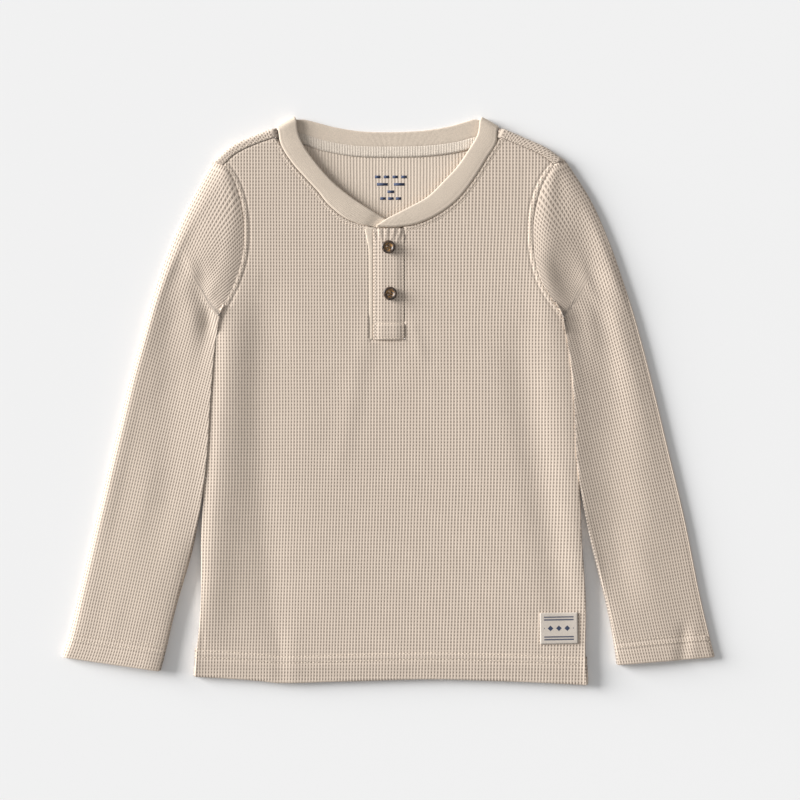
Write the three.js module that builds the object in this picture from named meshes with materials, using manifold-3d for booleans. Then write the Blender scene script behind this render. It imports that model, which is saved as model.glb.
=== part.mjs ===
// A toddler's long-sleeved henley shirt in waffle knit, laid flat on its back with its front up.
// Millimetres. +X is the wearer's left, +Y runs from hem to neck, +Z is up off the surface it lies on.
// Each cut piece is a closed wall of cloth. Where two pieces meet at a seam they stay a hair apart.
import * as THREE from 'three';
import Module from 'manifold-3d';
import { mergeVertices } from 'three/addons/utils/BufferGeometryUtils.js';

// Cloth and gaps
const knitThickness = 1.8;
const bandThickness = 2;
const tapeThickness = 1;
const labelThickness = 0.8;
const seamGap = 0.3;
const rimRound = 0.5;
const edgeInset = seamGap / 2 + rimRound;
const curveAllowance = 0.45;
const armholeGap = 2 * edgeInset + curveAllowance;
const sleeveToBodyGap = 1;

// Heights above the surface
const backTop = knitThickness;
const frontHeight = 5.2;
const sideSeamThickness = 1.6;
const sideSeamHeight = backTop + seamGap + sideSeamThickness;
const deepestHollow = 3.9;
const highestInside = backTop + deepestHollow;
const lowestFront = backTop + seamGap + knitThickness;
const underPlacketBottom = backTop + seamGap;
const placketLapGap = 0.5;
const topPlacketBottom = underPlacketBottom + knitThickness + placketLapGap;
const topPlacketThickness = 2;
const topPlacketTop = topPlacketBottom + topPlacketThickness;

// Rounded edges
const rollWidth = 8;
const sleeveRollWidth = 7;
const sleeveEdgeHeight = 2;
const sleeveBottomRound = 1.6;

// Hems, turned up once and stitched, so the cloth is double there
const hemDepth = 19;
const hemRise = 0.6;
const hemStep = 2;

// Front opening
const placketLeft = -10.6;
const placketRight = 12.4;
const placketBottom = 44.7;
const neckSeamAtPlacket = 127.3;
const placketTopY = neckSeamAtPlacket - edgeInset - seamGap;
const underPlacketLeft = -13.6;
const underPlacketTopLeft = 126.4;
const underPlacketTopRight = 118.4;
const notchLeft = underPlacketLeft - 2 * edgeInset;
const notchRight = placketRight + 2 * edgeInset;
const notchFoot = placketBottom - 2 * edgeInset;
const placketBoxDepth = 11.5;
const placketBoxRise = 0.4;

// Buttons
const buttonRadius = 5;
const buttonThickness = 2.6;
const buttonSegments = 20;
const buttonHoleRadius = 0.7;
const buttonHoleOffset = 1.15;
const holeSegments = 8;
const buttons = [
  { name: 'button_top', x: 0.6, y: 112.9 },
  { name: 'button_bottom', x: 1.8, y: 78.5 },
];

// Woven label near the hem
const label = { x: 126.3, y: -168.4, width: 28, height: 23, columns: 6, rows: 5 };

// Back neck tape
const tapeWidth = 6;
const tapeReach = 78;

// Neck corners, where shoulder seam, neckband and neckline meet
const neckCornerRight = -84;
const neckCornerLeft = 84;

// The body's edges, with the wearer's right at -X: side seams below the pit, armholes above it
const bodySections = [
  { y: -210, right: -143.3, left: 147.4 },
  { y: -188, right: -141.5, left: 146.3 },
  { y: -150, right: -138.4, left: 146.6 },
  { y: -104, right: -138.1, left: 143.7 },
  { y: -75, right: -136.7, left: 142.5 },
  { y: -37, right: -134.1, left: 140.5 },
  { y: 0, right: -131.5, left: 138.6 },
  { y: 30, right: -129.2, left: 135.6 },
  { y: 50, right: -127, left: 132.4 },
  { y: 64, right: -124.2, left: 129.6 },
  { y: 75, right: -118.8, left: 121.4 },
  { y: 89, right: -112.2, left: 113.5 },
  { y: 108, right: -106.9, left: 108.4 },
  { y: 128, right: -106, left: 107.2 },
  { y: 142, right: -107.2, left: 108.8 },
  { y: 156, right: -111, left: 112.8 },
  { y: 166, right: -115.8, left: 118.2 },
  { y: 173.2, right: -121.6, left: 123.8 },
];
const pitHeight = 64;

// The bottom edge of the body, wavy where the hem lies over itself a little
const hemline = [
  { x: -143, y: -203.3 },
  { x: -113, y: -205 },
  { x: -94, y: -206.5 },
  { x: -80, y: -208 },
  { x: -40, y: -207 },
  { x: 30, y: -205.2 },
  { x: 68, y: -206 },
  { x: 120, y: -208 },
  { x: 148, y: -209.6 },
];

// Front neckline, at the seam of the neckband
const neckline = [
  { x: -83.4, y: 193.9 },
  { x: -79, y: 188 },
  { x: -75.7, y: 181.5 },
  { x: -70, y: 173.5 },
  { x: -61.5, y: 164 },
  { x: -52, y: 153.6 },
  { x: -44.5, y: 144.3 },
  { x: -33.3, y: 134.8 },
  { x: -19.5, y: 128.8 },
  { x: -7.6, y: neckSeamAtPlacket },
  { x: 6, y: neckSeamAtPlacket },
  { x: 22.2, y: 129.8 },
  { x: 37.9, y: 136.9 },
  { x: 51.9, y: 147.6 },
  { x: 63.8, y: 162.5 },
  { x: 73.7, y: 178.3 },
  { x: 83.4, y: 193.9 },
];

// Back neckline, at the seam of the neckband
const backNeckline = [
  { x: -83.4, y: 200.8 },
  { x: -65, y: 196 },
  { x: -47.2, y: 190.3 },
  { x: -23.5, y: 186.3 },
  { x: 2.4, y: 185.7 },
  { x: 28, y: 186.3 },
  { x: 52, y: 189.3 },
  { x: 67.7, y: 194 },
  { x: 83.4, y: 200.8 },
];

// The shoulder seam lies forward of the fold over the top of the shoulder.
const shoulderSections = [
  { side: 'right', x: -121.6, seam: 173.2, foldX: -128.6, fold: 176 },
  { side: 'right', x: -112.7, seam: 181.6, foldX: -116.2, fold: 187.3 },
  { side: 'right', x: -98, seam: 188.8, foldX: -101, fold: 194.6 },
  { side: 'right', x: -84, seam: 193.7, foldX: -85, fold: 201 },
  { side: 'left', x: 84, seam: 193.7, foldX: 85, fold: 201 },
  { side: 'left', x: 98, seam: 187.9, foldX: 101.4, fold: 193.7 },
  { side: 'left', x: 113, seam: 181.2, foldX: 117, fold: 186.6 },
  { side: 'left', x: 123.8, seam: 173.2, foldX: 130.6, fold: 177 },
];

// Sleeves, a row for each section from armhole to cuff. A bow of 1 gives a section the armhole's own curve.
// The row before the last is the cuff's stitch line. A row with no innerX lies along the body's edge.
const sleeves = [
  {
    name: 'sleeve_right',
    side: 'right',
    sections: [
      { outerX: -129.7, outerY: 175.6, innerY: 64, bow: 1 },
      { outerX: -144.9, outerY: 148, innerY: 60, bow: 0.66 },
      { outerX: -158.9, outerY: 118.4, innerY: 54, bow: 0.34 },
      { outerX: -170, outerY: 88.8, innerY: 45, bow: 0.12 },
      { outerX: -178.9, outerY: 59.2, innerY: 30, bow: 0 },
      { outerX: -191.2, outerY: 14.8, innerY: -4, bow: 0 },
      { outerX: -203.4, outerY: -36, innerY: -52, bow: 0 },
      { outerX: -215.9, outerY: -88.8, innerX: -142.4, innerY: -103, bow: 0 },
      { outerX: -228, outerY: -140, innerX: -156.6, innerY: -154, bow: 0 },
      { outerX: -236, outerY: -174, innerX: -163.8, innerY: -184.6, bow: 0 },
      { outerX: -241.2, outerY: -188.9, innerX: -167.6, innerY: -199.4, bow: 0 },
    ],
  },
  {
    name: 'sleeve_left',
    side: 'left',
    sections: [
      { outerX: 131.6, outerY: 176.6, innerY: 64, bow: 1 },
      { outerX: 149.7, outerY: 148, innerY: 60, bow: 0.66 },
      { outerX: 163, outerY: 118.4, innerY: 54, bow: 0.34 },
      { outerX: 173.5, outerY: 88.8, innerY: 45, bow: 0.12 },
      { outerX: 183, outerY: 59.2, innerY: 30, bow: 0 },
      { outerX: 194.8, outerY: 14.8, innerY: -2, bow: 0 },
      { outerX: 206.6, outerY: -34, innerY: -50, bow: 0 },
      { outerX: 219.6, outerY: -88.8, innerX: 149.2, innerY: -102, bow: 0 },
      { outerX: 229.8, outerY: -140, innerX: 161.4, innerY: -152, bow: 0 },
      { outerX: 237.6, outerY: -174, innerX: 167, innerY: -181, bow: 0 },
      { outerX: 241.5, outerY: -189, innerX: 168.9, innerY: -194.8, bow: 0 },
    ],
  },
];

// Neckband, a row for each station: the seam edge and the free edge. It starts under the placket,
// folds over at the wearer's right, crosses the back, folds at the left and ends on top of the placket.
// A row with no seamY lies on the neckline.
const bandRightFront = [
  { seamX: 6, seamY: 121.4, freeX: 10.5, freeY: 129.6, height: 3.1 },
  { seamX: -9, seamY: 126.6, freeX: -2.6, freeY: 134.2, height: 3.1 },
  { seamX: -12.5, seamY: 127.4, freeX: -5, freeY: 135.8, height: 3.1 },
  { seamX: -19.5, freeX: -11.5, freeY: 139.7, height: 4.2 },
  { seamX: -33.3, freeX: -24.5, freeY: 148.1, height: 4.8 },
  { seamX: -44.5, freeX: -34, freeY: 155.4, height: 4.9 },
  { seamX: -52, freeX: -41.6, freeY: 162.1, height: 4.9 },
  { seamX: -61.5, freeX: -50, freeY: 171.4, height: 4.9 },
  { seamX: -70, freeX: -57.4, freeY: 180.9, height: 4.8 },
  { seamX: -75.7, freeX: -62.6, freeY: 188.9, height: 4.8 },
  { seamX: -79.6, freeX: -66.2, freeY: 197.4, height: 4.7 },
];
const bandBack = [
  { seamX: -76, freeX: -62, freeY: 207.4 },
  { seamX: -64, freeX: -53, freeY: 205.3 },
  { seamX: -47.2, freeX: -40.5, freeY: 202 },
  { seamX: -23.5, freeX: -20.5, freeY: 198.8 },
  { seamX: 2.4, freeX: 2.4, freeY: 198.2 },
  { seamX: 28, freeX: 26, freeY: 199.3 },
  { seamX: 50, freeX: 45, freeY: 202.3 },
  { seamX: 66, freeX: 56.5, freeY: 205.6 },
  { seamX: 76.5, freeX: 64, freeY: 207.6 },
];
const bandLeftFront = [
  { seamX: 80.6, freeX: 66.4, freeY: 196.6, height: 4.8 },
  { seamX: 73.7, freeX: 60.6, freeY: 186.2, height: 4.9 },
  { seamX: 63.8, freeX: 51.4, freeY: 172.6, height: 5 },
  { seamX: 51.9, freeX: 41, freeY: 161.4, height: 5 },
  { seamX: 37.9, freeX: 29.5, freeY: 150.2, height: 5.1 },
  { seamX: 22.2, freeX: 16, freeY: 142.6, height: 5.3 },
  { seamX: 10, freeX: 7, freeY: 138, height: 5.4 },
  { seamX: 0, freeX: -1, freeY: 133.8, height: 5.4 },
  { seamX: -8.6, freeX: -8, freeY: 129.2, height: 5.4 },
];
const bandFolds = {
  right: { seamX: -83, seamY: 201.7, freeX: -68.8, freeY: 209.8 },
  left: { seamX: 83, seamY: 201.7, freeX: 69.4, freeY: 209.5 },
};
const bandFoldSteps = 6;
const bandAcross = 4;

// Folds in the lay of the cloth. Each runs from, by way of, and to a point.
// Its rise is up, so a trough's is below 0.
const folds = [
  { name: 'side roll, right', from: [-121, 56], by: [-116, -60], to: [-121, -190], width: 9, rise: 1.5 },
  { name: 'side trough, right', from: [-103, 72], by: [-99, -50], to: [-79, -188], width: 12, rise: -1.3 },
  { name: 'side trough, left', from: [97, 40], by: [106, -50], to: [138, -168], width: 11, rise: -1.1 },
  { name: 'side roll, left', from: [121, 52], by: [129, -30], to: [137, -110], width: 7, rise: 1.3 },
  { name: 'pull below placket', from: [-14, 58], by: [-24, 20], to: [-36, -50], width: 6, rise: 0.7 },
  { name: 'pull beside placket', from: [18, 58], by: [21, 46], to: [25, 32], width: 4, rise: 0.5 },
  { name: 'hem wave', from: [-82, -168], by: [-80, -190], to: [-79, -210], width: 5, rise: -1 },
  { name: 'arm trough, right', from: [-134, 152], by: [-158, 88], to: [-163, -40], width: 7, rise: -1.5 },
  { name: 'cap ridge, right', from: [-121, 152], by: [-124, 120], to: [-139, 88], width: 9, rise: 2 },
  { name: 'pit crease, right', from: [-124, 66], by: [-134, 70], to: [-142, 98], width: 4, rise: -2.4 },
  { name: 'wrist ridge, right', from: [-176, -20], by: [-192, -90], to: [-205, -160], width: 13, rise: 0.9 },
  { name: 'wrist trough, right', from: [-160, -20], by: [-170, -90], to: [-178, -170], width: 9, rise: -0.5 },
  { name: 'cap ridge, left', from: [129, 160], by: [121, 134], to: [122, 106], width: 6, rise: 1.7 },
  { name: 'pit trough, left', from: [124, 106], by: [133, 60], to: [152, -84], width: 9, rise: -1.8 },
  { name: 'pleat, left', from: [135, 106], by: [153, 66], to: [163, -6], width: 4.5, rise: 1.6 },
  { name: 'pleat trough, left', from: [141, 121], by: [160, 74], to: [167, -6], width: 5, rise: -1.5 },
  { name: 'arm ridge, left', from: [150, 126], by: [180, 10], to: [190, -160], width: 11, rise: 2 },
  { name: 'cuff tuck, left', from: [219, -168], by: [218, -182], to: [217, -196], width: 3.6, rise: -1.6 },
];
const foldSteps = 14;
const foldFade = 0.16;

const smooth = (from, to, value) => {
  const t = Math.min(1, Math.max(0, (value - from) / (to - from)));
  return t * t * (3 - 2 * t);
};
const mix = (a, b, t) => a + (b - a) * t;
const roll = (distance, width) => {
  const left = 1 - Math.min(1, Math.max(0, distance / width));
  return Math.sqrt(1 - left * left);
};

// A smooth curve through a table's rows, as a function of the column "at".
function curveOf(rows, at, column) {
  const slope = (i) => {
    const a = rows[Math.max(0, i - 1)];
    const b = rows[Math.min(rows.length - 1, i + 1)];
    return (b[column] - a[column]) / (b[at] - a[at]);
  };
  return (value) => {
    const last = rows.length - 2;
    let i = rows.findIndex((row, k) => k <= last && value <= rows[k + 1][at]);
    if (i < 0) i = last;
    const a = rows[i];
    const b = rows[i + 1];
    const step = b[at] - a[at];
    const t = Math.min(1, Math.max(0, (value - a[at]) / step));
    const t2 = t * t;
    const t3 = t2 * t;
    return (
      (2 * t3 - 3 * t2 + 1) * a[column] +
      (t3 - 2 * t2 + t) * step * slope(i) +
      (3 * t2 - 2 * t3) * b[column] +
      (t3 - t2) * step * slope(i + 1)
    );
  };
}

// How far to move down to stand clear of a curve by a distance square to it
const drop = (curve, x, distance) => distance * Math.hypot(1, (curve(x + 1) - curve(x - 1)) / 2);

const sideOf = {
  right: curveOf(bodySections, 'y', 'right'),
  left: curveOf(bodySections, 'y', 'left'),
};
const hemAt = curveOf(hemline, 'x', 'y');
const necklineAt = curveOf(neckline, 'x', 'y');
const backNecklineAt = curveOf(backNeckline, 'x', 'y');
const shoulderOf = {};
for (const side of ['right', 'left']) {
  const rows = shoulderSections.filter((row) => row.side === side);
  shoulderOf[side] = {
    seam: curveOf(rows, 'x', 'seam'),
    foldX: curveOf(rows, 'x', 'foldX'),
    fold: curveOf(rows, 'x', 'fold'),
  };
}

// How far the folds lift or sink the cloth at a point of the plan
const foldPaths = folds.map((fold) => {
  const curve = new THREE.QuadraticBezierCurve(
    new THREE.Vector2(...fold.from),
    new THREE.Vector2(...fold.by),
    new THREE.Vector2(...fold.to),
  );
  return { ...fold, points: curve.getPoints(foldSteps) };
});
function lift(x, y) {
  let total = 0;
  for (const { points, width, rise } of foldPaths) {
    let nearest = Infinity;
    let along = 0;
    for (let i = 0; i < foldSteps; i++) {
      const a = points[i];
      const b = points[i + 1];
      const dx = b.x - a.x;
      const dy = b.y - a.y;
      const t = Math.min(1, Math.max(0, ((x - a.x) * dx + (y - a.y) * dy) / (dx * dx + dy * dy)));
      const distance = Math.hypot(x - a.x - dx * t, y - a.y - dy * t);
      if (distance < nearest) {
        nearest = distance;
        along = (i + t) / foldSteps;
      }
    }
    const ends = smooth(-foldFade, foldFade, along) * smooth(1 + foldFade, 1 - foldFade, along);
    total += rise * ends * Math.exp(-((nearest / width) ** 2));
  }
  return total;
}

// The height of the front's outer face. It rolls down to the side seams, and the hem is doubled.
function frontTop(x, y) {
  const toSide = Math.min(x - sideOf.right(y), sideOf.left(y) - x);
  const rolled = mix(roll(toSide, rollWidth), 1, smooth(pitHeight - rollWidth, pitHeight + rollWidth, y));
  const doubled = hemRise * smooth(hemDepth + hemStep / 2, hemDepth - hemStep / 2, y - hemAt(x));
  const open = Math.max(lowestFront, frontHeight + lift(x, y) + doubled);
  return mix(sideSeamHeight, open, rolled);
}

const insideOf = (top) => Math.max(backTop + seamGap, Math.min(top - knitThickness, highestInside));

// A closed solid from vertices and four-cornered faces, turned so that its faces point out
function solid(name, points, faces, material) {
  const triangles = faces.flatMap(([a, b, c, d]) => [[a, b, c], [a, c, d]]);
  let volume = 0;
  for (const [a, b, c] of triangles) volume += points[a].dot(points[b].clone().cross(points[c]));
  const order = volume < 0 ? ([a, b, c]) => [a, c, b] : (triangle) => triangle;
  const geometry = new THREE.BufferGeometry().setFromPoints(points);
  geometry.setIndex(triangles.flatMap(order));
  geometry.computeVertexNormals();
  const mesh = new THREE.Mesh(geometry, material);
  mesh.name = name;
  return mesh;
}

// A wall of cloth over a grid. outer and inner give its two faces, has says which cells are cloth,
// and the rim round each free edge stands out by a little, so that the edge is rounded.
function wall(name, { rows, columns, closed = false, outer, inner, has = () => true }, material) {
  const points = [];
  const faces = [];
  const wrap = (j) => (closed ? (j + columns) % columns : j);
  const known = new Map();
  const vertex = (kind, i, j, make) => {
    const key = `${kind} ${i} ${wrap(j)}`;
    if (!known.has(key)) {
      known.set(key, points.length);
      points.push(make(i, wrap(j)));
    }
    return known.get(key);
  };
  const cloth = (i, j) => i >= 0 && i < rows && (closed || (j >= 0 && j < columns)) && has(i, wrap(j));
  const beside = (i, j, di, dj) => [0, 1].some((k) => (
    di ? cloth(i + Math.min(di, 0), j - k) : cloth(i - k, j + Math.min(dj, 0))));
  const rim = (i, j) => {
    const centre = outer(i, j).add(inner(i, j)).multiplyScalar(0.5);
    const away = new THREE.Vector3();
    for (const [di, dj] of [[1, 0], [-1, 0], [0, 1], [0, -1]]) {
      if (!beside(i, j, di, dj) || beside(i, j, -di, -dj)) continue;
      away.add(outer(i, j).sub(outer(i + di, wrap(j + dj))).setZ(0).normalize());
    }
    return centre.addScaledVector(away.normalize(), rimRound);
  };
  const top = (i, j) => vertex('outer', i, j, outer);
  const under = (i, j) => vertex('inner', i, j, inner);
  const middle = (i, j) => vertex('rim', i, j, rim);
  for (let i = 0; i < rows; i++) {
    for (let j = 0; j < columns; j++) {
      if (!cloth(i, j)) continue;
      faces.push([top(i, j), top(i, j + 1), top(i + 1, j + 1), top(i + 1, j)]);
      faces.push([under(i, j), under(i + 1, j), under(i + 1, j + 1), under(i, j + 1)]);
      const edges = [
        [[i - 1, j], [i, j], [i, j + 1]],
        [[i + 1, j], [i + 1, j + 1], [i + 1, j]],
        [[i, j - 1], [i + 1, j], [i, j]],
        [[i, j + 1], [i, j + 1], [i + 1, j + 1]],
      ];
      for (const [next, a, b] of edges) {
        if (cloth(...next)) continue;
        faces.push([top(...b), top(...a), middle(...a), middle(...b)]);
        faces.push([middle(...b), middle(...a), under(...a), under(...b)]);
      }
    }
  }
  return solid(name, points, faces, material);
}

// Columns of the body's grid: shares of the way from a side edge to the neck corner, and places between
// the corners, which the neckband's stations share.
const sideShares = [0, 0.04, 0.11, 0.22, 0.38, 0.64, 1];
const seamXs = (rows) => rows.map((row) => row.seamX);
const neckColumns = [
  ...seamXs(bandRightFront).filter((x) => x < notchLeft).reverse(),
  notchLeft,
  0,
  notchRight,
  ...seamXs(bandLeftFront).filter((x) => x > notchRight).reverse(),
];
const frontColumns = [
  ...sideShares.map((share) => ({ side: 'right', share })),
  ...neckColumns.map((x) => ({ x })),
  ...[...sideShares].reverse().map((share) => ({ side: 'left', share })),
];
const cornerOf = { right: neckCornerRight, left: neckCornerLeft };
const columnX = ({ side, share, x }, y) => (side ? mix(sideOf[side](y), cornerOf[side], share) : x);

const lowerOffsets = [0, 8, hemDepth - hemStep / 2, hemDepth + hemStep / 2];
const middleRows = 15;
const upperRows = 13;
const armholeTop = bodySections[bodySections.length - 1].y;

// The place up the plan of a row of the front's grid, in a column
function frontRow(column, i) {
  const hem = hemAt(columnX(column, hemline[0].y));
  if (i < lowerOffsets.length) return hem + lowerOffsets[i];
  const start = hem + lowerOffsets[lowerOffsets.length - 1];
  const k = i - lowerOffsets.length + 1;
  if (k <= middleRows) return mix(start, notchFoot, k / middleRows);
  const topX = columnX(column, armholeTop);
  const edge = column.side ? shoulderOf[column.side].seam : necklineAt;
  return mix(notchFoot, edge(topX) - drop(edge, topX, edgeInset), (k - middleRows) / upperRows);
}
const frontRows = lowerOffsets.length - 1 + middleRows + upperRows;
const notchRow = lowerOffsets.length - 1 + middleRows;
const notchFrom = frontColumns.findIndex((column) => column.x === notchLeft);
const notchTo = frontColumns.findIndex((column) => column.x === notchRight);

function frontPanel(material) {
  const at = (i, j) => {
    const y = frontRow(frontColumns[j], i);
    return [columnX(frontColumns[j], Math.min(y, armholeTop)), y];
  };
  return wall('front_panel', {
    rows: frontRows,
    columns: frontColumns.length - 1,
    outer: (i, j) => new THREE.Vector3(...at(i, j), frontTop(...at(i, j))),
    inner: (i, j) => new THREE.Vector3(...at(i, j), insideOf(frontTop(...at(i, j)))),
    has: (i, j) => i < notchRow || j < notchFrom || j >= notchTo,
  }, material);
}

// The back lies on the surface. At each shoulder it turns over the fold and comes forward to the seam.
const backColumns = [
  ...sideShares.map((share) => ({ side: 'right', share })),
  ...seamXs(bandBack).map((x) => ({ x })),
  ...[...sideShares].reverse().map((share) => ({ side: 'left', share })),
];
const backLevels = [-197, -150, -100, -50, 0, 40, pitHeight, 75, 86, 97, 108, 119, 130, 141, 152, 163];
const turnSteps = 5;
const flapSteps = 2;

function backPanel(material) {
  const half = knitThickness / 2;
  const turnRadius = (frontHeight - knitThickness) / 2;
  const flatRows = backLevels.length + 1;
  const lying = (x, y) => ({ at: new THREE.Vector3(x, y, half), out: new THREE.Vector3(0, 0, -1) });
  const place = (i, j) => {
    const column = backColumns[j];
    if (i < flatRows) {
      const y = i ? backLevels[i - 1] : hemAt(columnX(column, hemline[0].y));
      return lying(columnX(column, y), y);
    }
    if (!column.side) return lying(column.x, backNecklineAt(column.x) - edgeInset);
    const topX = columnX(column, armholeTop);
    const shoulder = shoulderOf[column.side];
    const fold = new THREE.Vector2(shoulder.foldX(topX), shoulder.fold(topX));
    const seam = new THREE.Vector2(topX, shoulder.seam(topX));
    const toSeam = seam.clone().sub(fold).normalize();
    const turnCentre = fold.clone().addScaledVector(toSeam, turnRadius + half);
    if (i === flatRows) return lying(turnCentre.x, turnCentre.y);
    const k = i - flatRows;
    if (k <= turnSteps) {
      const angle = mix(-Math.PI / 2, Math.PI / 2, k / turnSteps);
      const level = toSeam.clone().multiplyScalar(-Math.cos(angle));
      const out = new THREE.Vector3(level.x, level.y, Math.sin(angle));
      const centre = new THREE.Vector3(turnCentre.x, turnCentre.y, half + turnRadius);
      return { at: centre.addScaledVector(out, turnRadius), out };
    }
    const reach = (seam.distanceTo(turnCentre) - edgeInset) * ((k - turnSteps) / flapSteps);
    const end = turnCentre.clone().addScaledVector(toSeam, reach);
    return { at: new THREE.Vector3(end.x, end.y, half + 2 * turnRadius), out: new THREE.Vector3(0, 0, 1) };
  };
  const face = (sign) => (i, j) => {
    const { at, out } = place(i, j);
    return at.addScaledVector(out, sign * half);
  };
  return wall('back_panel', {
    rows: flatRows + turnSteps + flapSteps,
    columns: backColumns.length - 1,
    outer: face(1),
    inner: face(-1),
    has: (i, j) => i < flatRows || (backColumns[j].side && backColumns[j + 1].side),
  }, material);
}

// A sleeve is a flattened tube: rings from armhole to cuff, each across its section and back beneath.
const ringsPerSection = 2;
const edgeDistances = [0, 0.9, 3, 7];
const middlePoints = 8;
const bowFade = { top: 0.12, pit: 0.96 };

function sleeve({ name, side, sections }, material) {
  const toBody = side === 'right' ? 1 : -1;
  const body = sideOf[side];
  const rows = sections.map((row, k) => ({
    ...row,
    k,
    innerX: row.innerX ?? body(row.innerY) - toBody * (k ? sleeveToBodyGap : armholeGap),
  }));
  const column = (key) => curveOf(rows, 'k', key);
  const outerX = column('outerX');
  const outerY = column('outerY');
  const innerX = column('innerX');
  const innerY = column('innerY');
  const bow = column('bow');
  const lastRing = (rows.length - 1) * ringsPerSection;
  const armhole = (share) => {
    const y = mix(rows[0].outerY, rows[0].innerY, share);
    const chord = mix(rows[0].outerX, rows[0].innerX, share);
    return body(Math.min(y, armholeTop)) - toBody * armholeGap - chord;
  };
  const bowEnds = (share) => smooth(0, bowFade.top, share) * smooth(1, bowFade.pit, share);
  const armholeBow = (share) => armhole(share) * bowEnds(share);

  const spot = (ring, share) => {
    const k = ring / ringsPerSection;
    return new THREE.Vector2(
      mix(outerX(k), innerX(k), share) + Math.max(0, bow(k)) * armholeBow(share),
      mix(outerY(k), innerY(k), share),
    );
  };
  const widthAt = (ring) => {
    const k = ring / ringsPerSection;
    return Math.hypot(outerX(k) - innerX(k), outerY(k) - innerY(k));
  };
  const doubled = (ring) => (lastRing - ring > ringsPerSection ? 0 : hemRise);
  const across = edgeDistances.length * 2 + middlePoints - 1;
  const distanceAt = (index, width) => {
    const near = edgeDistances.length;
    if (index < near) return edgeDistances[index];
    if (index >= across - near) return width - edgeDistances[across - 1 - index];
    const last = edgeDistances[near - 1];
    return mix(last, width - last, (index - near + 1) / middlePoints);
  };
  const around = across * 2 - 2;
  const topAt = (ring, distance, width) => {
    const { x, y } = spot(ring, distance / width);
    const toEdge = Math.min(distance, width - distance);
    const open = Math.max(lowestFront, frontHeight + lift(x, y) + doubled(ring));
    return mix(sleeveEdgeHeight, open, roll(toEdge, sleeveRollWidth));
  };
  const outer = (ring, index) => {
    const width = widthAt(ring);
    const above = index < across;
    const distance = distanceAt(above ? index : around - index, width);
    const { x, y } = spot(ring, distance / width);
    const toEdge = Math.min(distance, width - distance);
    const below = sleeveEdgeHeight * (1 - roll(toEdge, sleeveBottomRound));
    return new THREE.Vector3(x, y, above ? topAt(ring, distance, width) : below);
  };
  const inner = (ring, index) => {
    const width = widthAt(ring);
    const above = index < across;
    const distance = distanceAt(above ? index : around - index, width);
    const inset = mix(knitThickness, width - knitThickness, distance / width);
    const { x, y } = spot(ring, inset / width);
    const edge = distance === 0 || distance === width;
    const height = above && !edge ? insideOf(topAt(ring, inset, width)) : backTop;
    return new THREE.Vector3(x, y, edge ? backTop + seamGap / 2 : height);
  };
  return wall(name, { rows: lastRing, columns: around, closed: true, outer, inner }, material);
}

// The neckband: one strip, folded flat at the two neck corners and overlapping at the placket
function neckband(material) {
  const half = bandThickness / 2;
  const backCentre = half;
  const stations = [];
  const lie = (row, curve, height, up) => stations.push({
    seam: new THREE.Vector3(row.seamX, row.seamY ?? curve(row.seamX), height),
    free: new THREE.Vector3(row.freeX, row.freeY, height),
    out: new THREE.Vector3(0, 0, up),
  });
  const turn = (fold, topHeight, fromTop) => {
    const alongFold = new THREE.Vector2(fold.freeX - fold.seamX, fold.freeY - fold.seamY).normalize();
    const inward = new THREE.Vector2(alongFold.y, -alongFold.x);
    if (inward.y > 0) inward.negate();
    const radius = (topHeight - backCentre) / 2;
    for (let s = 0; s <= bandFoldSteps; s++) {
      const angle = mix(Math.PI / 2, -Math.PI / 2, fromTop ? s / bandFoldSteps : 1 - s / bandFoldSteps);
      const level = inward.clone().multiplyScalar(-Math.cos(angle));
      const out = new THREE.Vector3(level.x, level.y, Math.sin(angle));
      const centre = (x, y) => new THREE.Vector3(
        x + inward.x * (radius + half),
        y + inward.y * (radius + half),
        backCentre + radius,
      ).addScaledVector(out, radius);
      stations.push({ seam: centre(fold.seamX, fold.seamY), free: centre(fold.freeX, fold.freeY), out });
    }
  };
  for (const row of bandRightFront) lie(row, necklineAt, row.height, 1);
  turn(bandFolds.right, bandRightFront[bandRightFront.length - 1].height, true);
  for (const row of bandBack) lie(row, backNecklineAt, backCentre, -1);
  turn(bandFolds.left, bandLeftFront[0].height, false);
  for (const row of bandLeftFront) lie(row, necklineAt, row.height, 1);

  const face = (sign) => (i, j) => {
    const { seam, free, out } = stations[i];
    const width = seam.distanceTo(free);
    const share = mix(edgeInset / width, 1, j / bandAcross);
    return seam.clone().lerp(free, share).addScaledVector(out, sign * half);
  };
  return wall('neckband', {
    rows: stations.length - 1,
    columns: bandAcross,
    outer: face(1),
    inner: face(-1),
  }, material);
}

// A strip of cloth over a grid of the plan, laid at the given heights
function strip(name, { rows, columns, at, bottom, top }, material) {
  return wall(name, {
    rows,
    columns,
    outer: (i, j) => new THREE.Vector3(...at(i, j), top(...at(i, j))),
    inner: (i, j) => new THREE.Vector3(...at(i, j), bottom(...at(i, j))),
  }, material);
}

function underPlacket(material) {
  const rows = 8;
  const columns = 2;
  return strip('placket_under', {
    rows,
    columns,
    at: (i, j) => {
      const top = mix(underPlacketTopLeft, underPlacketTopRight, j / columns);
      return [mix(underPlacketLeft, placketRight, j / columns), mix(placketBottom, top, i / rows)];
    },
    bottom: () => underPlacketBottom,
    top: () => underPlacketBottom + knitThickness,
  }, material);
}

// The top placket has a stitched box at its foot, where all the layers are caught together.
function topPlacket(material) {
  const boxTop = placketBottom + placketBoxDepth;
  const boxStep = 1;
  const above = 7;
  const columns = 4;
  const levels = [placketBottom, boxTop - boxStep];
  for (let k = 0; k <= above; k++) levels.push(mix(boxTop, placketTopY, k / above));
  return strip('placket_top', {
    rows: levels.length - 1,
    columns,
    at: (i, j) => [mix(placketLeft, placketRight, j / columns), levels[i]],
    bottom: () => topPlacketBottom,
    top: (x, y) => topPlacketTop + placketBoxRise * smooth(boxTop, boxTop - boxStep, y),
  }, material);
}

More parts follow.
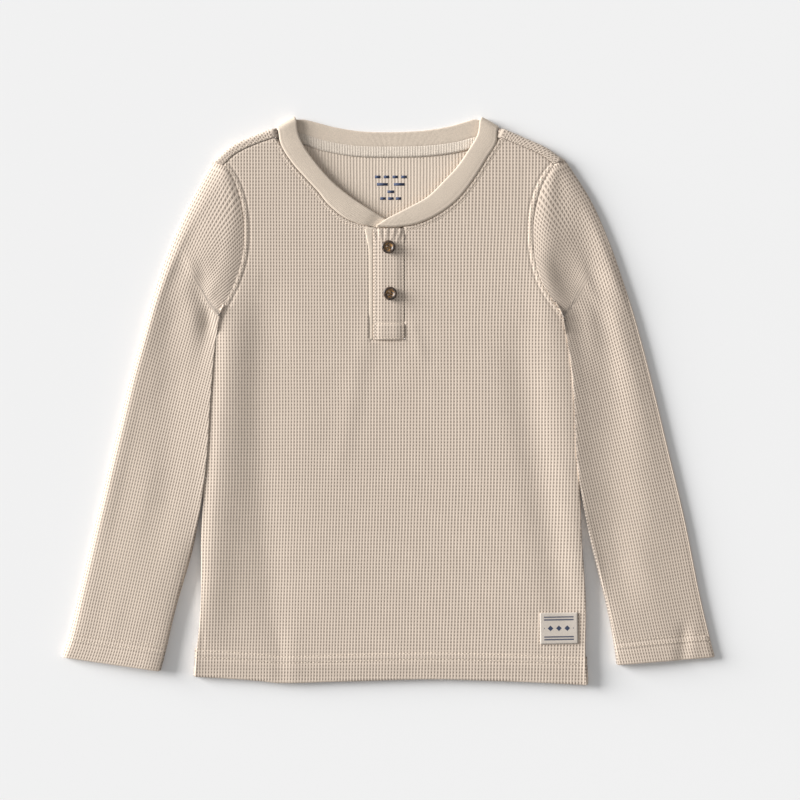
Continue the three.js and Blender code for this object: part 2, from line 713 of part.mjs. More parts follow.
function neckTape(material) {
  const rows = 2;
  const columns = 20;
  const bottom = backTop + seamGap;
  return strip('neck_tape', {
    rows,
    columns,
    at: (i, j) => {
      const x = mix(-tapeReach, tapeReach, j / columns);
      return [x, backNecklineAt(x) - 2 * edgeInset - tapeWidth * (1 - i / rows)];
    },
    bottom: () => bottom,
    top: () => bottom + tapeThickness,
  }, material);
}

function hemLabel(material) {
  const at = (i, j) => [
    label.x + label.width * (j / label.columns - 0.5),
    label.y + label.height * (i / label.rows - 0.5),
  ];
  return strip('hem_label', {
    rows: label.rows,
    columns: label.columns,
    at,
    bottom: (x, y) => frontTop(x, y) + seamGap,
    top: (x, y) => frontTop(x, y) + seamGap + labelThickness,
  }, material);
}

const wasm = await Module();
wasm.setup();

// A geometry as a solid that can be cut
function manifoldOf(geometry) {
  const bare = geometry.clone().deleteAttribute('normal').deleteAttribute('uv');
  const merged = mergeVertices(bare, 1e-4);
  return new wasm.Manifold(new wasm.Mesh({
    numProp: 3,
    vertProperties: merged.attributes.position.array,
    triVerts: new Uint32Array(merged.index.array),
  }));
}

// A four-hole button with a raised rim and a dished middle
function button({ name, x, y }, material) {
  const t = buttonThickness;
  const r = buttonRadius;
  const profile = [
    [0, 0], [r * 0.6, 0], [r * 0.92, t * 0.3], [r, t * 0.62], [r * 0.94, t * 0.9],
    [r * 0.82, t], [r * 0.64, t * 0.92], [r * 0.54, t * 0.72], [0, t * 0.72],
  ].map(([radius, height]) => new THREE.Vector2(radius, height));
  const disc = new THREE.LatheGeometry(profile, buttonSegments).rotateX(Math.PI / 2);
  let cut = manifoldOf(disc);
  for (const [dx, dy] of [[1, 1], [1, -1], [-1, 1], [-1, -1]]) {
    const hole = new THREE.CylinderGeometry(buttonHoleRadius, buttonHoleRadius, 3 * t, holeSegments);
    hole.rotateX(Math.PI / 2).translate(dx * buttonHoleOffset, dy * buttonHoleOffset, 0);
    cut = cut.subtract(manifoldOf(hole));
  }
  const result = cut.getMesh();
  const geometry = new THREE.BufferGeometry();
  geometry.setAttribute('position', new THREE.BufferAttribute(new Float32Array(result.vertProperties), 3));
  geometry.setIndex(new THREE.BufferAttribute(result.triVerts, 1));
  geometry.computeVertexNormals();
  const mesh = new THREE.Mesh(geometry, material);
  mesh.name = name;
  mesh.position.set(x, y, topPlacketTop + seamGap);
  return mesh;
}

const finish = (color, roughness) => new THREE.MeshStandardMaterial({ color, roughness, metalness: 0 });
const waffleKnit = finish('#d8c8b4', 0.95);
const ribJersey = finish('#d3c3b0', 0.92);
const twillTape = finish('#dccdb9', 0.9);
const labelWeave = finish('#d9cdbe', 0.85);
const hornButton = finish('#4d3a2a', 0.35);

const shirt = new THREE.Group();
shirt.add(
  backPanel(waffleKnit),
  frontPanel(waffleKnit),
  ...sleeves.map((row) => sleeve(row, waffleKnit)),
  neckband(ribJersey),
  neckTape(twillTape),
  underPlacket(waffleKnit),
  topPlacket(waffleKnit),
  hemLabel(labelWeave),
  ...buttons.map((row) => button(row, hornButton)),
);

// The origin is under the middle of the laid shirt, on the surface.
const middle = new THREE.Box3().setFromObject(shirt, true).getCenter(new THREE.Vector3());
shirt.position.set(-middle.x, -middle.y, 0);

export default shirt;
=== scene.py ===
# A toddler's waffle knit henley, laid flat on a pale surface and seen from straight above.
# The tables below are in millimetres, in the frame's own axes:
# +X to the wearer's left, +Y to the neck, +Z up.
import math

import bmesh
import bpy
import numpy as np
from mathutils import Matrix, Vector
from mathutils.bvhtree import BVHTree


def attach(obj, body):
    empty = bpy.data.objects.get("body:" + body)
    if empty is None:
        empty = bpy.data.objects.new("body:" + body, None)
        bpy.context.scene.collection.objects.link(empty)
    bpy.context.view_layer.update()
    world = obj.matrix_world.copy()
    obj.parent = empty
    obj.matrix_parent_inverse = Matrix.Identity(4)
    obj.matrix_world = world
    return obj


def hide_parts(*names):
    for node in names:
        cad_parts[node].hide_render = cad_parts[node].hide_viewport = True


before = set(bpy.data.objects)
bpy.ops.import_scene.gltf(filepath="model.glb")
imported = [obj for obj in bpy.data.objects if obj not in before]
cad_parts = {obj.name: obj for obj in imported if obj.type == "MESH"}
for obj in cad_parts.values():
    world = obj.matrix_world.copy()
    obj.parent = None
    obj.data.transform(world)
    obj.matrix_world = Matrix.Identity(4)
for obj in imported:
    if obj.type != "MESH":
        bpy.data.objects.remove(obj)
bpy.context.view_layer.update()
mm = 0.001
print("frame loaded")


# Small helpers for shapes, all of them on arrays of millimetres
def mix(a, b, t):
    return a + (b - a) * t


def smooth(start, end, value):
    t = np.clip((value - start) / (end - start), 0.0, 1.0)
    return t * t * (3.0 - 2.0 * t)


# Shares with short steps at the start, or at both ends, where the cloth bends most
def fineStart(share, first):
    return share * (first + (1.0 - first) * share)


def fineEnds(share, first):
    return share - (1.0 - first) * np.sin(2 * math.pi * share) / (2 * math.pi)


# A rolled edge: a quarter circle that is level with the cloth from `width` inwards
def roll(distance, width):
    left = 1.0 - np.clip(distance / width, 0.0, 1.0)
    return np.sqrt(1.0 - left * left)


def bell(value, middle, width):
    return np.exp(-(((value - middle) / width) ** 2))


# The ridge and the dent that a seam leaves beside itself
def seamRipple(distance, ridge, dent, height, width):
    return height * bell(distance, ridge, width) - height * bell(distance, dent, width)


# A cubic curve through a table of points, as a function of the first column
def curveThrough(points):
    knots = np.array(points, float)
    xs, ys = knots[:, 0], knots[:, 1]
    slopes = np.gradient(ys, xs)
    slopes[1:-1] = (ys[2:] - ys[:-2]) / (xs[2:] - xs[:-2])

    def at(value):
        value = np.clip(np.asarray(value, float), xs[0], xs[-1])
        i = np.clip(np.searchsorted(xs, value) - 1, 0, len(xs) - 2)
        step = xs[i + 1] - xs[i]
        t = (value - xs[i]) / step
        t2, t3 = t * t, t * t * t
        return (
            (2 * t3 - 3 * t2 + 1) * ys[i]
            + (t3 - 2 * t2 + t) * step * slopes[i]
            + (3 * t2 - 2 * t3) * ys[i + 1]
            + (t3 - t2) * step * slopes[i + 1]
        )

    return at


# How far points lie from a path, how far along it, and on which side
def nearest(path, x, y):
    bestDistance = np.full(np.shape(x), 1e9)
    bestAlong = np.zeros(np.shape(x))
    side = np.zeros(np.shape(x))
    count = len(path) - 1
    for i in range(count):
        (ax, ay), (bx, by) = path[i], path[i + 1]
        dx, dy = bx - ax, by - ay
        t = np.clip(((x - ax) * dx + (y - ay) * dy) / (dx * dx + dy * dy), 0.0, 1.0)
        offX, offY = x - ax - dx * t, y - ay - dy * t
        distance = np.hypot(offX, offY)
        closer = distance < bestDistance
        bestDistance = np.where(closer, distance, bestDistance)
        bestAlong = np.where(closer, (i + t) / count, bestAlong)
        side = np.where(closer, np.sign(dx * offY - dy * offX), side)
    return bestDistance, bestAlong, side


# The garment's outline, with the wearer's right at -X
body = {
    "sideRight": [
        (-210, -143.3), (-188, -141.5), (-150, -138.4), (-104, -138.1), (-75, -136.7), (-37, -134.1),
        (0, -131.5), (30, -129.2), (50, -127), (64, -124.2), (75, -118.8), (89, -112.2), (108, -106.9),
        (128, -106), (142, -107.2), (156, -111), (166, -115.8), (173.2, -121.6)],
    "sideLeft": [
        (-210, 147.4), (-188, 146.3), (-150, 146.6), (-104, 143.7), (-75, 142.5), (-37, 140.5), (0, 138.6),
        (30, 135.6), (50, 132.4), (64, 129.6), (75, 121.4), (89, 113.5), (108, 108.4), (128, 107.2),
        (142, 108.8), (156, 112.8), (166, 118.2), (173.2, 123.8)],
    "hem": [
        (-143, -203.3), (-113, -205), (-94, -206.5), (-80, -208), (-40, -207), (30, -205.2), (68, -206),
        (120, -208), (148, -209.6)],
    "neckline": [
        (-83.4, 193.9), (-79, 188), (-75.7, 181.5), (-70, 173.5), (-61.5, 164), (-52, 153.6),
        (-44.5, 144.3), (-33.3, 134.8), (-19.5, 128.8), (-7.6, 127.3), (6, 127.3), (22.2, 129.8),
        (37.9, 136.9), (51.9, 147.6), (63.8, 162.5), (73.7, 178.3), (83.4, 193.9)],
    "backNeckline": [
        (-83.4, 200.8), (-65, 196), (-47.2, 190.3), (-23.5, 186.3), (2.4, 185.7), (28, 186.3), (52, 189.3),
        (67.7, 194), (83.4, 200.8)],
    "shoulderRight": [
        (-121.6, 173.2, -128.6, 176), (-112.7, 181.6, -116.2, 187.3), (-98, 188.8, -101, 194.6),
        (-84, 193.7, -85, 201)],
    "shoulderLeft": [
        (84, 193.7, 85, 201), (98, 187.9, 101.4, 193.7), (113, 181.2, 117, 186.6),
        (123.8, 173.2, 130.6, 177)],
    "foot": -210.0,
    "bandEnd": 83.4,
    "neckCorner": 84,
    "armholeTop": 173.2,
    "pit": 64,
    "frontHeight": 5.2,
    "sideHeights": (5.9, 6.2),
    "sideFoot": 1.2,
    "rolls": (9.0, 6.0),
    "knit": 1.1,
    "hemDepth": 18.5,
    "hemRowGap": 4.6,
    "hemDent": 0.35,
    "hemTurn": 1.2,
    "hemRise": 0.45,
    "hemDrop": 0.7,
    "hemDropFrom": 12,
    "stitchWidth": 0.9,
    "neckRipple": (1.5, 2.9, 0.12, 0.7),
    "seamGap": 0.1,
    "underBand": 1.1,
    "bandDrop": 2.0,
}
sideRight = curveThrough(body["sideRight"])
sideLeft = curveThrough(body["sideLeft"])
hemline = curveThrough(body["hem"])
neckline = curveThrough(body["neckline"])
backNeckline = curveThrough(body["backNeckline"])
shoulder = {}
for sideName, tableName in (("right", "shoulderRight"), ("left", "shoulderLeft")):
    rows = body[tableName]
    shoulder[sideName] = [curveThrough([(row[0], row[k]) for row in rows]) for k in (1, 2, 3)]

placket = {
    "left": -10.6,
    "right": 12.4,
    "bottom": 44.7,
    "boxTop": 56.2,
    "top": 126.6,
    "underLeft": -13.6,
    "lap": 0.6,
    "underZ": 2.3,
    "topZ": 4.4,
    "knit": 1.2,
}
notchLeft = placket["underLeft"] + placket["lap"]
notchRight = placket["right"] - placket["lap"]
notchFoot = placket["bottom"] + placket["lap"]

# Folds, from the neck down: start, by way of, end,
# width to the left and to the right in the picture, and rise
folds = [
    ((-114, 66), (-124, -60), (-134, -165), 12, 17, 2.2),
    ((-94, 74), (-96, -50), (-82, -172), 12, 18, -1.0),
    ((-88, 30), (-82, -60), (-70, -190), 10, 10, 0.2),
    ((100, 120), (105, 0), (125, -170), 50, 40, 0.9),
    ((97, 40), (107, -50), (133, -160), 12, 13, -1.1),
    ((121, 78), (131, -20), (143, -160), 15, 14, 1.0),
    ((116, 160), (114, 100), (118, 50), 10, 9, 0.5),
    ((-14, 58), (-24, 20), (-36, -50), 7, 7, 0.2),
    ((-6, 50), (-14, 10), (-22, -40), 7, 7, -0.1),
    ((18, 58), (21, 46), (25, 32), 4, 4, 0.3),
    ((-82, -168), (-80, -190), (-79, -210), 5, 5, -0.3),
    ((-70, -170), (-70, -190), (-69, -210), 6, 6, 0.2),
    ((219, -168), (218, -182), (217, -196), 4, 4, -0.7),
    ((226, -166), (226, -180), (226, -192), 5, 5, 0.3),
    ((-139, 94), (-137, 74), (-131, 48), 7, 6, -1.6),
    ((-125, 66), (-137, 78), (-149, 108), 5, 4, 0.7),
]
foldSteps = 14
foldFade = 0.16  # the share of a fold's length over which it fades at each end


def foldPath(start, by, end):
    t = np.linspace(0.0, 1.0, foldSteps + 1)[:, None]
    a, b, c = (np.array(p, float) for p in (start, by, end))
    return a * (1 - t) ** 2 + 2 * b * t * (1 - t) + c * t**2


def lift(x, y):
    total = np.zeros(np.shape(x))
    for start, by, end, leftWidth, rightWidth, rise in folds:
        distance, along, side = nearest(foldPath(start, by, end), x, y)
        width = np.where(side > 0, rightWidth, leftWidth)
        ends = smooth(-foldFade, foldFade, along) * smooth(1 + foldFade, 1 - foldFade, along)
        total += rise * ends * bell(distance, 0, width)
    return total


# A hem stands a little proud, with a dent along each row of its stitches
def hemRelief(fromEdge, depth, rowGap, dent):
    rise = body["hemRise"] * smooth(depth + 1.2, depth - 1.2, fromEdge)
    for row in (depth, depth - rowGap):
        rise -= dent * bell(fromEdge, row, body["stitchWidth"])
    return rise


# Meshes: a grid of cloth, laid by a function of its columns and rows
def clothGrid(columns, rows, place, keep=None, merge=0.0):
    bm = bmesh.new()
    bmesh.ops.create_grid(bm, x_segments=columns, y_segments=rows, size=0.5)
    bm.verts.index_update()
    spots = np.array([v.co[:] for v in bm.verts])
    column = np.rint((spots[:, 0] + 0.5) * columns)
    row = np.rint((spots[:, 1] + 0.5) * rows)
    x, y, z, u, v = place(column, row)
    knit = bm.loops.layers.uv.new("knit")
    for face in bm.faces:
        for loop in face.loops:
            i = loop.vert.index
            loop[knit].uv = (u[i] * mm, v[i] * mm)
    gone = []
    if keep is not None:
        for face in bm.faces:
            ids = [vert.index for vert in face.verts]
            if not keep(column[ids].mean(), row[ids].mean()):
                gone.append(face)
    for vert in bm.verts:
        i = vert.index
        vert.co = (x[i] * mm, y[i] * mm, z[i] * mm)
    bmesh.ops.delete(bm, geom=gone, context="FACES")
    if merge:
        bmesh.ops.remove_doubles(bm, verts=bm.verts, dist=merge * mm)
    return bm


def newObject(name, bm):
    mesh = bpy.data.meshes.new(name)
    bm.to_mesh(mesh)
    bm.free()
    thing = bpy.data.objects.new(name, mesh)
    bpy.context.scene.collection.objects.link(thing)
    return thing


def finishPiece(name, bm, material, replaced=(), thickness=0.0, turned=False):
    if turned:
        bmesh.ops.reverse_faces(bm, faces=bm.faces)
    for face in bm.faces:
        face.smooth = True
    piece = newObject(name, bm)
    piece.data.materials.append(material)
    if thickness:
        wall = piece.modifiers.new("wall", "SOLIDIFY")
        wall.thickness = thickness * mm
        wall.offset = -1.0
        wall.use_rim = True
    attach(piece, "root")
    if replaced:
        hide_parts(*replaced)
    return piece


# Materials, made of nodes whose inputs are either values or other nodes' outputs
def linear(code):
    values = [int(code[k : k + 2], 16) / 255 for k in (1, 3, 5)]
    return [c / 12.92 if c <= 0.04045 else ((c + 0.055) / 1.055) ** 2.4 for c in values] + [1.0]


def addNode(tree, kind, inputs=None, **settings):
    node = tree.nodes.new(kind)
    for key, value in settings.items():
        setattr(node, key, value)
    for key, value in (inputs or {}).items():
        if isinstance(value, bpy.types.NodeSocket):
            tree.links.new(value, node.inputs[key])
        else:
            node.inputs[key].default_value = value
    return node


def newMaterial(name):
    material = bpy.data.materials.new(name)
    material.use_nodes = True
    material.node_tree.nodes.clear()
    return material, material.node_tree


def surface(tree, inputs):
    shader = addNode(tree, "ShaderNodeBsdfPrincipled", inputs)
    addNode(tree, "ShaderNodeOutputMaterial", {"Surface": shader.outputs[0]})


def compute(tree, operation, *inputs):
    return addNode(tree, "ShaderNodeMath", dict(enumerate(inputs)), operation=operation).outputs[0]


def computeVector(tree, operation, *inputs):
    return addNode(tree, "ShaderNodeVectorMath", dict(enumerate(inputs)), operation=operation).outputs[0]


def remap(tree, value, fromRange, toRange, curve="LINEAR"):
    ranges = {"From Min": fromRange[0], "From Max": fromRange[1], "To Min": toRange[0], "To Max": toRange[1]}
    node = addNode(tree, "ShaderNodeMapRange", {"Value": value, **ranges}, interpolation_type=curve)
    return node.outputs[0]


def noise(tree, place, scale, detail, distortion=0.0):
    values = {"Vector": place, "Scale": scale, "Detail": detail, "Distortion": distortion}
    return addNode(tree, "ShaderNodeTexNoise", values).outputs


def colourRamp(tree, value, stops):
    node = addNode(tree, "ShaderNodeValToRGB", {"Fac": value})
    elements = node.color_ramp.elements
    for element, (position, code) in zip(elements, (stops[0], stops[-1])):
        element.position = position
        element.color = linear(code)
    for position, code in stops[1:-1]:
        elements.new(position).color = linear(code)
    return node.outputs["Color"]


def bump(tree, height, distance, strength=1.0):
    values = {"Height": height, "Distance": distance * mm, "Strength": strength}
    return addNode(tree, "ShaderNodeBump", values).outputs[0]


# The knit's own coordinates, in metres along the cloth, and the place on the object
def knitPlaces(tree):
    knit = addNode(tree, "ShaderNodeUVMap", uv_map="knit").outputs["UV"]
    return knit, addNode(tree, "ShaderNodeTexCoord").outputs["Object"]


# One turn for each rib across, and for each row along
def knitTurns(tree, knit, ribPitch, rowPitch):
    rates = (2 * math.pi / (ribPitch * mm), 2 * math.pi / (rowPitch * mm), 0.0)
    return addNode(tree, "ShaderNodeSeparateXYZ", {0: computeVector(tree, "MULTIPLY", knit, rates)}).outputs


waffle = {
    "rib": "#dbcab9",
    # the pit colours are painted shade: darker than the yarn's rib colour, they stand in for the shade in
    # each hollow
    "pit": "#9e8e80",
    "insidePitShade": "#d3c4b2",
    "rowPitch": 2.5,
    "relief": 0.27,
    "wander": 0.7,
    "wanderScale": 28.0,
    "ribEdges": (-0.75, 0.65),
    "barEdges": (-0.9, 0.9),
    "ribColourFrom": 0.75,
    "stitchSlant": 1.6,
    "stitchDepth": 0.07,
    "fuzzDepth": 0.16,
    "fuzzScale": 2600.0,
}


# Upright ribs with lower bars across them leave the square pits.
# The grid wanders a little, as pulled cloth does.
def waffleKnit(name, ribPitch, paintedPitShade, barDepth):
    material, tree = newMaterial(name)
    knit, place = knitPlaces(tree)
    drift = noise(tree, place, waffle["wanderScale"], 1.0)["Color"]
    shift = computeVector(tree, "SUBTRACT", drift, (0.5, 0.5, 0.5))
    wander = computeVector(tree, "MULTIPLY", shift, (waffle["wander"] * mm,) * 3)
    spot = computeVector(tree, "ADD", knit, wander)
    turns = knitTurns(tree, spot, ribPitch, waffle["rowPitch"])
    ribWave = compute(tree, "COSINE", turns["X"])
    rowWave = compute(tree, "COSINE", turns["Y"])
    rib = remap(tree, ribWave, waffle["ribEdges"], (0.0, 1.0), "SMOOTHSTEP")
    row = remap(tree, rowWave, waffle["barEdges"], (0.0, 1.0), "SMOOTHSTEP")
    relief = compute(tree, "MAXIMUM", rib, compute(tree, "MULTIPLY", row, barDepth))
    # small slanted stitches, and fuzz drawn coarser than real fibres, which would be too fine to show
    twoRows = compute(tree, "MULTIPLY", turns["Y"], 2.0)
    slant = compute(tree, "MULTIPLY_ADD", ribWave, waffle["stitchSlant"], twoRows)
    stitched = compute(tree, "MULTIPLY_ADD", compute(tree, "COSINE", slant), waffle["stitchDepth"], relief)
    fuzz = noise(tree, place, waffle["fuzzScale"], 3.0)["Fac"]
    fuzzy = compute(tree, "MULTIPLY_ADD", fuzz, waffle["fuzzDepth"], stitched)
    # the pits are coloured darker than the ribs: painted shade in each hollow, on top of the bump
    tone = colourRamp(tree, relief, [(0.0, paintedPitShade), (waffle["ribColourFrom"], waffle["rib"])])
    shade = remap(tree, noise(tree, place, 60.0, 4.0)["Fac"], (0.0, 1.0), (0.95, 1.05))
    surface(tree, {
        "Base Color": computeVector(tree, "MULTIPLY", tone, shade),
        "Normal": bump(tree, fuzzy, waffle["relief"]),
        "Roughness": 0.95, "Sheen Weight": 0.25, "Sheen Roughness": 0.6, "IOR": 1.45})
    return material


# A plain knit or weave: fine upright wales with slanted courses, and fuzz that also mottles the colour
def plainKnit(name, colourCode, pitch, relief, roughness=0.92):
    material, tree = newMaterial(name)
    knit, place = knitPlaces(tree)
    turns = knitTurns(tree, knit, pitch, pitch)
    wale = compute(tree, "COSINE", turns["X"])
    course = compute(tree, "COSINE", compute(tree, "MULTIPLY_ADD", wale, 1.5, turns["Y"]))
    loops = compute(tree, "MULTIPLY_ADD", course, 0.5, wale)
    fuzz = noise(tree, place, 1300.0, 3.0)["Fac"]
    height = compute(tree, "MULTIPLY_ADD", fuzz, 1.6, loops)
    shade = remap(tree, noise(tree, place, 90.0, 5.0)["Fac"], (0.0, 1.0), (0.94, 1.06))
    fuzzShade = remap(tree, fuzz, (0.3, 0.7), (0.88, 1.06))
    tone = compute(tree, "MULTIPLY", shade, fuzzShade)
    surface(tree, {
        "Base Color": computeVector(tree, "MULTIPLY", linear(colourCode)[:3], tone),
        "Normal": bump(tree, height, relief),
        "Roughness": roughness, "Sheen Weight": 0.2, "Sheen Roughness": 0.6, "IOR": 1.45})
    return material


# Thick cotton thermal: soft and dull, with a dark dot of painted shade in each pit
bodyKnit = waffleKnit("cottonWaffleKnitBody", 2.24, waffle["pit"], 0.66)
# the same cloth's inner face: paler, with lighter painted shade in its pits, and ribs that read as fine
# upright lines
insideKnit = waffleKnit("cottonWaffleKnitInside", 2.35, waffle["insidePitShade"], 0.4)
# the same cloth where the sleeve narrows it: closer ribs
sleeveKnit = waffleKnit("cottonWaffleKnitSleeve", 1.97, waffle["pit"], 0.6)
# Smooth rib jersey: a dull, even surface with only a fine grain
bandKnit = plainKnit("cottonRibJersey", "#d8c8b6", 0.9, 0.05)
# Woven tape: crisper and paler than the knit round it
tapeWeave = plainKnit("cottonHerringboneTape", "#e3d5c5", 1.2, 0.16)
# Spun thread: pale, with a slight gloss that picks the stitches out
threadTwist = plainKnit("spunPolyesterThread", "#dacbb8", 0.4, 0.03, 0.6)
print("materials made")


# The front: columns from side seam to neck corner, on to the placket's slit, and the same again beyond
front = {
    "blocks": (36, 36, 10, 36, 36),
    "lowerRows": 104,
    "upperRows": 66,
    "turnRows": 6,
    "allowanceRows": 5,
    "edgeShare": 0.3,
    "lowerShare": 0.45,
    "upperShare": 0.3,
    "stripWidth": 3.2,
    "stripRise": 0.22,
    "grooveFrom": 0.9,
    "grooveWidth": 0.8,
    "grooveDepth": 0.28,
    "seamDip": 0.4,
    "seamDipFrom": 1.6,
}
breaks = np.cumsum((0,) + front["blocks"])
necklinePath = [(x, float(neckline(x))) for x in np.linspace(-body["bandEnd"], body["bandEnd"], 70)]
armholePaths = {}
for sideName, edge in (("right", sideRight), ("left", sideLeft)):
    armholePaths[sideName] = [(float(edge(y)), y) for y in np.linspace(body["pit"], body["armholeTop"], 30)]
shoulderPaths = {}
for sideName, ends in (("right", (-121.6, -84.0)), ("left", (84.0, 123.8))):
    shoulderPaths[sideName] = [(x, float(shoulder[sideName][0](x))) for x in np.linspace(*ends, 16)]


# The height of the front's outer face: rolled sides, folds, hem, and the strips and grooves along its seams
def frontTop(x, y):
    pit = body["pit"]
    toSide = np.minimum(x - sideRight(y), sideLeft(y) - x)
    opened = body["frontHeight"] + lift(x, y)
    rolled = mix(roll(toSide, np.where(x < 0, *body["rolls"])), 1.0, smooth(pit - 8, pit + 6, y))
    z = mix(np.where(x < 0, *body["sideHeights"]), opened, rolled)
    z = mix(z, body["sideFoot"], smooth(0.45, 0.0, toSide) * smooth(pit + 2, pit - 4, y))
    fromHem = y - hemline(x)
    z += hemRelief(fromHem, body["hemDepth"], body["hemRowGap"], body["hemDent"])
    z -= body["hemDrop"] * smooth(body["hemDropFrom"], 0, fromHem)
    fromNeck, _, bandSide = nearest(necklinePath, x, y)
    z -= body["bandDrop"] * smooth(0.1, -0.9, -bandSide * fromNeck)
    z += seamRipple(fromNeck, *body["neckRipple"])
    strip = front["stripWidth"]
    for path in armholePaths.values():
        distance = nearest(path, x, y)[0]
        z += front["stripRise"] * smooth(strip + 0.5, strip - 0.5, distance)
        z -= front["grooveDepth"] * bell(distance, strip + front["grooveFrom"], front["grooveWidth"])
        z -= 0.2 * smooth(0.8, 0.0, distance)
    for path in shoulderPaths.values():
        z -= front["seamDip"] * smooth(front["seamDipFrom"], 0.0, nearest(path, x, y)[0])
    return z


# Where a panel's columns lie at a height y: they follow its edges outside the neck's corners, and keep their
# place between them. The knots are the columns of the right corner, the left corner and the left edge.
def panelColumns(column, knots, inRight, inLeft, edgeShare, fixed):
    corner = body["neckCorner"]
    rightCorner, leftCorner, leftEdge = knots
    shareRight = fineStart(np.clip(column / rightCorner, 0, 1), edgeShare)
    shareLeft = fineStart(np.clip((leftEdge - column) / (leftEdge - leftCorner), 0, 1), edgeShare)

    def xAt(y):
        y = np.minimum(y, body["armholeTop"])
        return np.where(inRight, mix(sideRight(y), -corner, shareRight),
                        np.where(inLeft, mix(sideLeft(y), corner, shareLeft), fixed))

    return xAt


def frontPlace(column, row):
    corner = body["neckCorner"]
    b = breaks
    lower, upper = front["lowerRows"], front["upperRows"]
    turn, allowance = front["turnRows"], front["allowanceRows"]
    extra = turn + allowance
    k = np.maximum(row - extra, 0)
    inRight, inLeft = column < b[1], column > b[4]
    fixed = np.interp(column, b[1:5], (-corner, notchLeft, notchRight, corner))
    xAt = panelColumns(column, (b[1], b[4], b[5]), inRight, inLeft, front["edgeShare"], fixed)
    hem = hemline(xAt(np.full(len(column), body["foot"])))
    topX = xAt(np.full(len(column), body["armholeTop"]))
    seamTop = np.where(inRight, shoulder["right"][0](topX),
                       np.where(inLeft, shoulder["left"][0](topX), neckline(topX)))
    slope = (neckline(topX + 1) - neckline(topX - 1)) / 2
    seamTop += np.where(inRight | inLeft, -body["seamGap"], body["underBand"] * np.hypot(1, slope))
    low = fineStart(np.clip(k / lower, 0, 1), front["lowerShare"])
    high = 1 - fineStart(1 - np.clip((k - lower) / upper, 0, 1), front["upperShare"])
    y = np.where(k <= lower, mix(hem, notchFoot, low), mix(notchFoot, seamTop, high))
    x = xAt(y)
    z = frontTop(x, y)
    # the first rows are the hem's allowance, turned up inside
    angle = np.clip((extra - row) / turn, 0, 1) * math.pi
    r = body["hemTurn"]
    y = y - r * np.sin(angle) + np.clip(allowance - row, 0, None) / allowance * body["hemDepth"]
    z = z - r * (1 - np.cos(angle))
    z = np.where(row < allowance, frontTop(x, y) - 2 * r, z)
    # the knit's own coordinates: the ribs bow a little, as they do in worn cloth
    v = np.where(row < extra, 2 * hem - y - r * angle, y)
    warp = 1.0 + 0.03 * np.tanh(x / 60) + 0.05 * smooth(40, 180, y) * smooth(0, 80, x)
    u = x / warp - 0.03 * (y + 40) * smooth(60, -120, y)
    return x, y, z, u, v


def frontKeep(column, row):
    extra = front["turnRows"] + front["allowanceRows"]
    slit = breaks[2] < column < breaks[3]
    return not (slit and row > extra + front["lowerRows"])


frontRows = sum(front[part] for part in front if part.endswith("Rows"))
frontPiece = finishPiece(
    "frontPanelCloth", clothGrid(int(breaks[5]), frontRows, frontPlace, frontKeep), bodyKnit,
    ("front_panel",), body["knit"])
print("front made")


# The back: flat on the surface, turned over each shoulder to the seam that lies forward
back = {
    "blocks": (22, 56, 22),
    "flatRows": 110,
    "turnRows": 8,
    "flapRows": 5,
    "hemTurnRows": 6,
    "hemRows": 4,
    "hemClearance": 0.1,
    "underBand": 3.0,
}
backBreaks = np.cumsum((0,) + back["blocks"])


def backPlace(column, row):
    corner, knit = body["neckCorner"], body["knit"]
    b = backBreaks
    inRight, inLeft = column <= b[1], column >= b[2]
    fixed = np.interp(column, b[1:3], (-corner, corner))
    xAt = panelColumns(column, b[1:], inRight, inLeft, 1.0, fixed)
    hem = hemline(xAt(np.full(len(column), body["foot"])))
    topX = xAt(np.full(len(column), body["armholeTop"]))
    seamY = np.where(inRight, shoulder["right"][0](topX), shoulder["left"][0](topX))
    foldX = np.where(inRight, shoulder["right"][1](topX), shoulder["left"][1](topX))
    foldY = np.where(inRight, shoulder["right"][2](topX), shoulder["left"][2](topX))
    reach = np.hypot(topX - foldX, seamY - foldY)
    toX, toY = (topX - foldX) / reach, (seamY - foldY) / reach
    radius = (body["frontHeight"] - knit) / 2
    centreX, centreY = foldX + toX * (radius + knit / 2), foldY + toY * (radius + knit / 2)
    side = inRight | inLeft
    flat = back["flatRows"]
    turnRows, hemRows = back["hemTurnRows"], back["hemRows"]
    early = row
    row = row - turnRows - hemRows
    hem = hem + back["hemClearance"] + knit
    endY = np.where(side, centreY, backNeckline(topX) - body["seamGap"])
    t = np.clip(row / flat, 0, 1)
    y = mix(hem, endY, t)
    lastX = np.where(side, centreX, fixed)
    bend = smooth(0.9, 1.0, t)
    x = np.where(y < body["pit"], xAt(y), mix(xAt(y), lastX, bend * np.where(side, 1.0, 0.0)))
    z = np.full(len(x), knit)
    v = y.copy()
    # over the shoulder: half a circle, then the flap that reaches forward to the seam
    turn = np.clip((row - flat) / back["turnRows"], 0, 1)
    angle = mix(-math.pi / 2, math.pi / 2, turn)
    arc = radius - knit / 2
    over = row > flat
    x = np.where(over, centreX - toX * np.cos(angle) * arc, x)
    y = np.where(over, centreY - toY * np.cos(angle) * arc, y)
    z = np.where(over, knit / 2 + radius + np.sin(angle) * arc, z)
    flap = np.clip((row - flat - back["turnRows"]) / back["flapRows"], 0, 1)
    run = (reach - radius - knit / 2 - body["seamGap"]) * flap
    x, y = x + toX * run, y + toY * run
    # the hem's allowance, turned up inside
    hemAngle = np.clip(-row / turnRows, 0, 1) * math.pi
    inside = np.clip((hemRows - early) / hemRows, 0, 1) * body["hemDepth"]
    y = y - back["hemClearance"] * np.sin(hemAngle) + inside
    z = z + back["hemClearance"] * (1 - np.cos(hemAngle))
    beyond = turn * math.pi * radius + run
    x = x + back["underBand"] * (1.0 * (over & (column == b[1])) - 1.0 * (over & (column == b[2])))
    u = np.where(over, foldX - toX * beyond, x)
    v = np.where(over, foldY - toY * beyond, v)
    return x, y, z, u, np.where(row < 0, v - inside, v)


